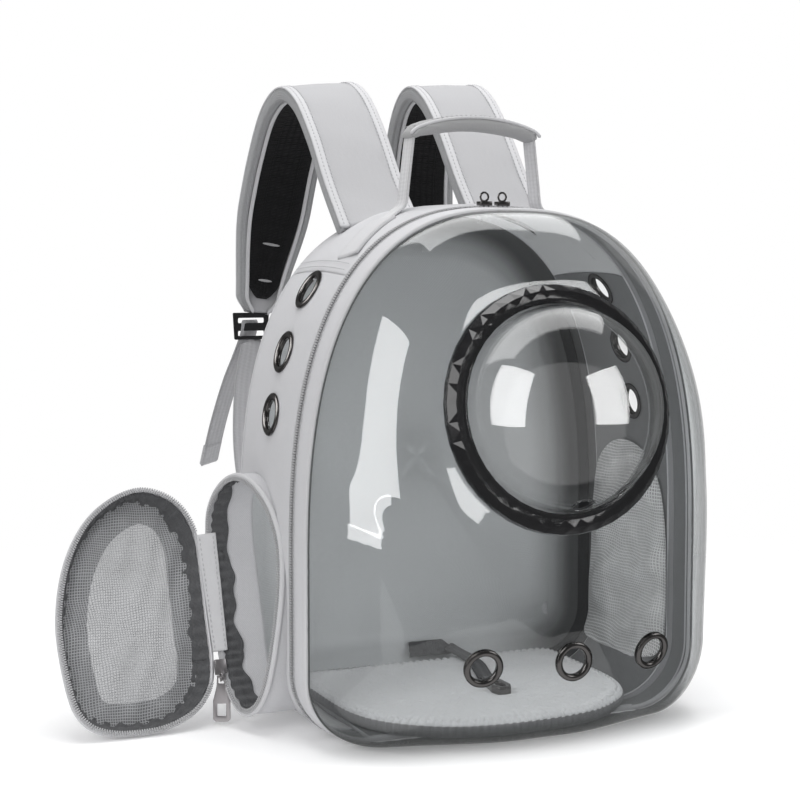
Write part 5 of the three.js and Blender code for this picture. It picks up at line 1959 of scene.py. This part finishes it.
MAT_HALF = [
    (0.0, -0.046), (0.034, -0.044), (0.066, -0.036), (0.095, -0.017), (0.114, 0.006), (0.124, 0.034),
    (0.127, 0.070), (0.127, 0.110), (0.127, 0.150), (0.122, 0.161), (0.108, 0.165), (0.074, 0.165),
    (0.040, 0.165), (0.0, 0.165),
]
TETHER_PATH = [
    (0.026, 0.1700, 0.0262), (0.031, 0.162, 0.0232), (0.033, 0.146, 0.0220), (0.030, 0.118, 0.0216),
    (0.021, 0.088, 0.0216), (0.014, 0.066, 0.0216),
]


@dataclass
class Inside:
    """What lies in the cabin: the plush mat, and the tether with its hook."""

    making: Making
    bottom: float = 0.0046
    top: float = 0.0180
    edge: float = 0.0045

    def build_mat(self) -> None:
        """The mat: a soft pad with a scalloped edge and a tufted top."""
        table = MAT_HALF + [(-x, y) for x, y in MAT_HALF[1:-1][::-1]]
        loop = catmull(table, 320, True)
        middle = np.array([0.0, 0.06])
        outer, top_edge = offset_loop(loop, -0.0022), offset_loop(loop, -self.edge - 0.0022)

        def place(u: float, v: float) -> Vector:
            """A point of the mat: up its rounded edge first, then over the top to the middle."""
            scallop = 0.0016 * math.sin(2 * math.pi * 120 * u)
            edge = on_loop(outer, u)
            if v < 0.5:
                angle = (v / 0.5 - 0.5) * math.pi
                out = math.cos(angle) * self.edge - self.edge
                height = mix(self.bottom, self.top + 0.7 * scallop, 0.5 + 0.5 * math.sin(angle))
                away = (edge - middle) / np.linalg.norm(edge - middle)
                x, y = edge + away * (out + scallop * math.cos(angle))
                return seam(float(x), float(y), height)
            part = (v - 0.5) / 0.5
            inner = on_loop(top_edge, u)
            away = (inner - middle) / np.linalg.norm(inner - middle)
            inner = inner + away * scallop * ease(0.10, 0.0, part)
            x, y = inner + (middle - inner) * part
            spot = Vector((float(x), float(y), 0.0))
            tuft = 0.0011 * ripple(spot, 0.006, 1.0) + 0.0011 * ripple(spot, 0.03, 4.0)
            soft = 0.0018 * math.sin(min(part * 8, 1.0) * math.pi / 2)
            lift = soft + 0.7 * scallop * ease(0.10, 0.0, part)
            return seam(spot.x, spot.y, self.top + lift + tuft * ease(0.0, 0.06, part) - 0.0008)

        bm = grid(600, 72, place, (0.7, 0.15), merge=True)
        rim = [e for e in bm.edges if e.is_boundary]
        bmesh.ops.holes_fill(bm, edges=rim, sides=0)
        closed_out(bm)
        for face in bm.faces:
            if face.calc_center_median().z < self.top - 0.0035:
                face.material_index = 1
        mat = self.making.piece("plush_mat", bm, (Finish.PLUSH, Finish.TAPE), replaces=["floor_mat"])

    def build_tether(self) -> None:
        """The tether's webbing on the mat and its metal hook."""
        band = Ribbon(catmull(TETHER_PATH, 60, False), Vector((-1.0, 0.0, 0.0)), 0.014, 0.0016, square=8.0)
        self.making.piece("tether_webbing", band.mesh(18), (Finish.LINING,), replaces=["tether_strap"])

        def root(u: float, v: float) -> Vector:
            """A point of the folded cloth that the tether is sewn to."""
            x = mix(-0.012, 0.034, u) * (1 - 0.10 * v) + 0.0012 * v
            fold = 0.0016 * ripple(Vector((u * 5, v * 2, 0.0)), 0.6)
            height = mix(0.0205, 0.0320, v) - 0.006 * ease(0.75, 1.0, u) * v
            return seam(x, mix(0.1665, 0.1750, v) + fold, height)

        bm = face_along(grid(40, 12, root, (0.046, 0.014)), Vector((0, -1, 0)))
        self.making.piece("tether_root", bm, (Finish.LINING,), wall=0.0012)
        self.making.piece("tether_clip", softened("tether_hook", 0.0012, 3), (Finish.DARK_METAL,),
                          replaces=["tether_hook"], sharp=HARD_EDGE)


@dataclass
class Studio:
    """Floor, lights and camera."""

    camera_at: tuple[float, float, float] = (-0.6107, -1.2650, 0.3781)
    look_at: tuple[float, float, float] = (-0.09458, -0.078, 0.26798)
    lens: float = 75.375
    sensor: float = 36.0
    floor_radius: float = 2.2
    card_distance: float = 1.6
    card_middle: tuple[float, float, float] = (0.0, -0.12, 0.264)

    def build(self) -> None:
        """Builds the whole studio."""
        self.build_camera()
        self.build_floor()
        self.build_world()
        view = bpy.context.scene.view_settings
        view.view_transform = "Standard"
        view.look = "None"

    def build_camera(self) -> None:
        """The camera at the photograph's angle."""
        data = bpy.data.cameras.new("camera")
        data.lens = self.lens
        data.sensor_width = self.sensor
        camera = bpy.data.objects.new("camera", data)
        camera.location = self.camera_at
        way = Vector(self.look_at) - Vector(self.camera_at)
        camera.rotation_euler = way.to_track_quat("-Z", "Y").to_euler()
        bpy.context.scene.collection.objects.link(camera)
        bpy.context.scene.camera = camera

    def build_floor(self) -> None:
        """A pale floor that fades into the white round it, and glows as painted light: a little everywhere,
        and more in front, so that the carrier's shadow washes out there.
        """
        bm = bmesh.new()
        bmesh.ops.create_circle(bm, cap_ends=True, segments=96, radius=self.floor_radius)
        mesh = bpy.data.meshes.new("floor")
        bm.to_mesh(mesh)
        bm.free()
        shader = Shader("floor")
        x, y, _ = shader.spot()
        fade = shader.step((x * x + y * y) ** 0.5, 0.35, 1.0)
        # Painted light: the floor glows, more in front of the carrier, to lighten its shadow there.
        glow = shader.blend(shader.step(y * -1.0, 0.105, 0.175), (0.14, 0.14, 0.14), (0.46, 0.46, 0.46))
        matte = shader.principled(Base_Color=(0.93, 0.93, 0.935, 1.0), Roughness=0.9, Specular_IOR_Level=0.1,
                                  Emission_Color=glow, Emission_Strength=1.0)
        mesh.materials.append(shader.show(shader.mixed(fade, matte, shader.clear())))
        floor = bpy.data.objects.new("floor", mesh)
        floor.visible_glossy = False
        bpy.context.scene.collection.objects.link(floor)

    def build_world(self) -> None:
        """White behind the object, softer light from it, and a greyer room in mirrors."""
        world = bpy.data.worlds.new("studio")
        bpy.context.scene.world = world
        shader = Shader("studio", world)
        path = shader.node("ShaderNodeLightPath")
        seen, light, mirror = (
            shader.out(shader.node("ShaderNodeBackground", None, {"Color": (*WHITE, 1.0), "Strength": level}))
            for level in (1.0, 0.5, 0.16))
        room = shader.mixed(shader.out(path, "Is Glossy Ray"), light, mirror)
        shader.show(shader.mixed(shader.out(path, "Is Camera Ray"), room, seen), "ShaderNodeOutputWorld")

    def lamp(self, name: str, at: Sequence[float], to: Sequence[float], size: tuple[float, float],
             power: float, mirrors: Sequence[bpy.types.Object] | None = None) -> None:
        """A soft box.

        Args:
            name: its name.
            at: its middle.
            to: the point that it faces.
            size: its width and height.
            power: its power in watts.
            mirrors: the pieces it shows in, for a card that lights no cloth.
        """
        data = bpy.data.lights.new(name, "AREA")
        data.shape = "RECTANGLE"
        data.size, data.size_y = size
        data.energy = power
        lamp = bpy.data.objects.new(name, data)
        lamp.location = at
        lamp.rotation_euler = (Vector(to) - Vector(at)).to_track_quat("-Z", "Y").to_euler()
        lamp.visible_camera = False
        lamp.visible_glossy = mirrors is not None
        lamp.visible_diffuse = mirrors is None
        lamp.visible_transmission = False
        bpy.context.scene.collection.objects.link(lamp)
        if mirrors:
            group = bpy.data.collections.new(f"{name}_mirrors")
            for thing in mirrors:
                group.objects.link(thing)
            lamp.light_linking.receiver_collection = group

    def card(self, name: str, azimuth: float, height: float, size: tuple[float, float], glow: float,
             mirrors: Sequence[bpy.types.Object]) -> None:
        """A bright card in a direction from the dome, which only mirrors see.

        Args:
            name: its name.
            azimuth: degrees to the right of straight ahead.
            height: degrees up.
            size: degrees wide and high.
            glow: its brightness, where 1 is white.
            mirrors: the pieces it shows in.
        """
        middle = Vector(self.card_middle)
        turn, rise = math.radians(azimuth), math.radians(height)
        way = Vector((math.sin(turn) * math.cos(rise), -math.cos(turn) * math.cos(rise), math.sin(rise)))
        wide, high = (2 * self.card_distance * math.tan(math.radians(part / 2)) for part in size)
        power = glow * math.pi * wide * high
        self.lamp(name, middle + way * self.card_distance, middle, (wide, high), power, mirrors)

    def build_lights(self, making: Making) -> None:
        """Soft boxes left, right and above, and cards that only mirrors see.

        Args:
            making: the pieces that are lit.
        """
        middle = (0.0, 0.0, 0.25)
        self.lamp("key_left", (-1.6, -1.3, 1.3), middle, (1.2, 1.2), 12.0)
        self.lamp("key_right", (1.5, -1.6, 1.2), middle, (1.2, 1.2), 9.0)
        self.lamp("top", (0.0, 0.1, 2.0), middle, (1.6, 1.6), 26.0)
        film, dome, ring = (making.named(name) for name in ("clear_film", "clear_dome", "diamond_ring"))
        metal = [thing for thing in making.pieces if thing.name.startswith(("rolled", "cast", "tether_clip"))]
        rolled = [thing for thing in metal if thing.name.startswith("rolled")]
        self.card("dome_left", -76.0, 16.0, (46.0, 56.0), 6.0, [dome])
        self.card("dome_right", 34.5, 14.5, (38.0, 45.0), 6.5, [dome])
        self.card("dome_top", 0.0, 119.0, (84.0, 52.0), 2.4, [dome])
        self.card("ring_left", -76.0, 16.0, (46.0, 40.0), 2.5, [ring])
        self.card("ring_top", 0.0, 100.0, (40.0, 50.0), 3.0, [ring])
        self.card("metal_left", -60.0, 40.0, (30.0, 30.0), 3.0, metal)
        self.card("metal_side", -112.0, 25.0, (40.0, 40.0), 6.0, metal)
        self.card("metal_right", 60.0, 30.0, (30.0, 30.0), 3.0, metal)
        self.card("film_left", -76.5, 16.85, (41.0, 52.3), 6.0, [film])
        self.card("film_left_foot", -83.0, -10.2, (28.0, 2.2), 6.0, [film])
        self.card("film_high_flare", 28.3, 22.15, (11.8, 7.3), 5.5, [film])
        self.card("film_low_flare", 22.55, 9.18, (3.5, 2.85), 5.5, [film])
        self.lamp("film_top", (0.42, 0.72, 1.86), (0.42, 0.72, 0.0), (1.77, 1.55), 33.0, [film])
        self.card("film_behind", 130.0, 5.0, (60.0, 70.0), 0.45, [film])
        self.card("below", -20.0, -55.0, (110.0, 70.0), 0.5, [film])
        self.card("metal_below", -20.0, -55.0, (110.0, 70.0), 0.8, metal)
        self.card("rolled_below", -20.0, -55.0, (110.0, 70.0), 0.5, rolled)
        self.card("dome_front", -15.0, -12.0, (130.0, 130.0), 0.55, [dome])
        for thing in making.pieces:
            if thing.name.startswith(("handle", "strap")):
                thing.visible_glossy = False


def main() -> None:
    """Builds the carrier's pieces in order, then the studio."""
    logging.basicConfig(level=logging.INFO, format="%(name)s: %(message)s")
    making = Making()
    studio = Studio()
    studio.build()
    door, window = Door(making), Window(making)
    shell = Shell(making)
    shell.build_sides(door, window)
    shell.build_top()
    shell.build_corner_shade_tape()
    shell.build_front()
    shell.build_stitching()
    cover = Cover(making)
    cover.build_film()
    cover.build_dome()
    cover.build_ring()
    door.build_collar()
    door.build_leaf()
    door.build_hinge()
    window.build()
    Straps(making).build()
    Handle(making).build()
    inside = Inside(making)
    inside.build_mat()
    inside.build_tether()
    studio.build_lights(making)
    LOG.info("%d pieces", len(making.pieces))


if __name__ == "__main__":
    main()
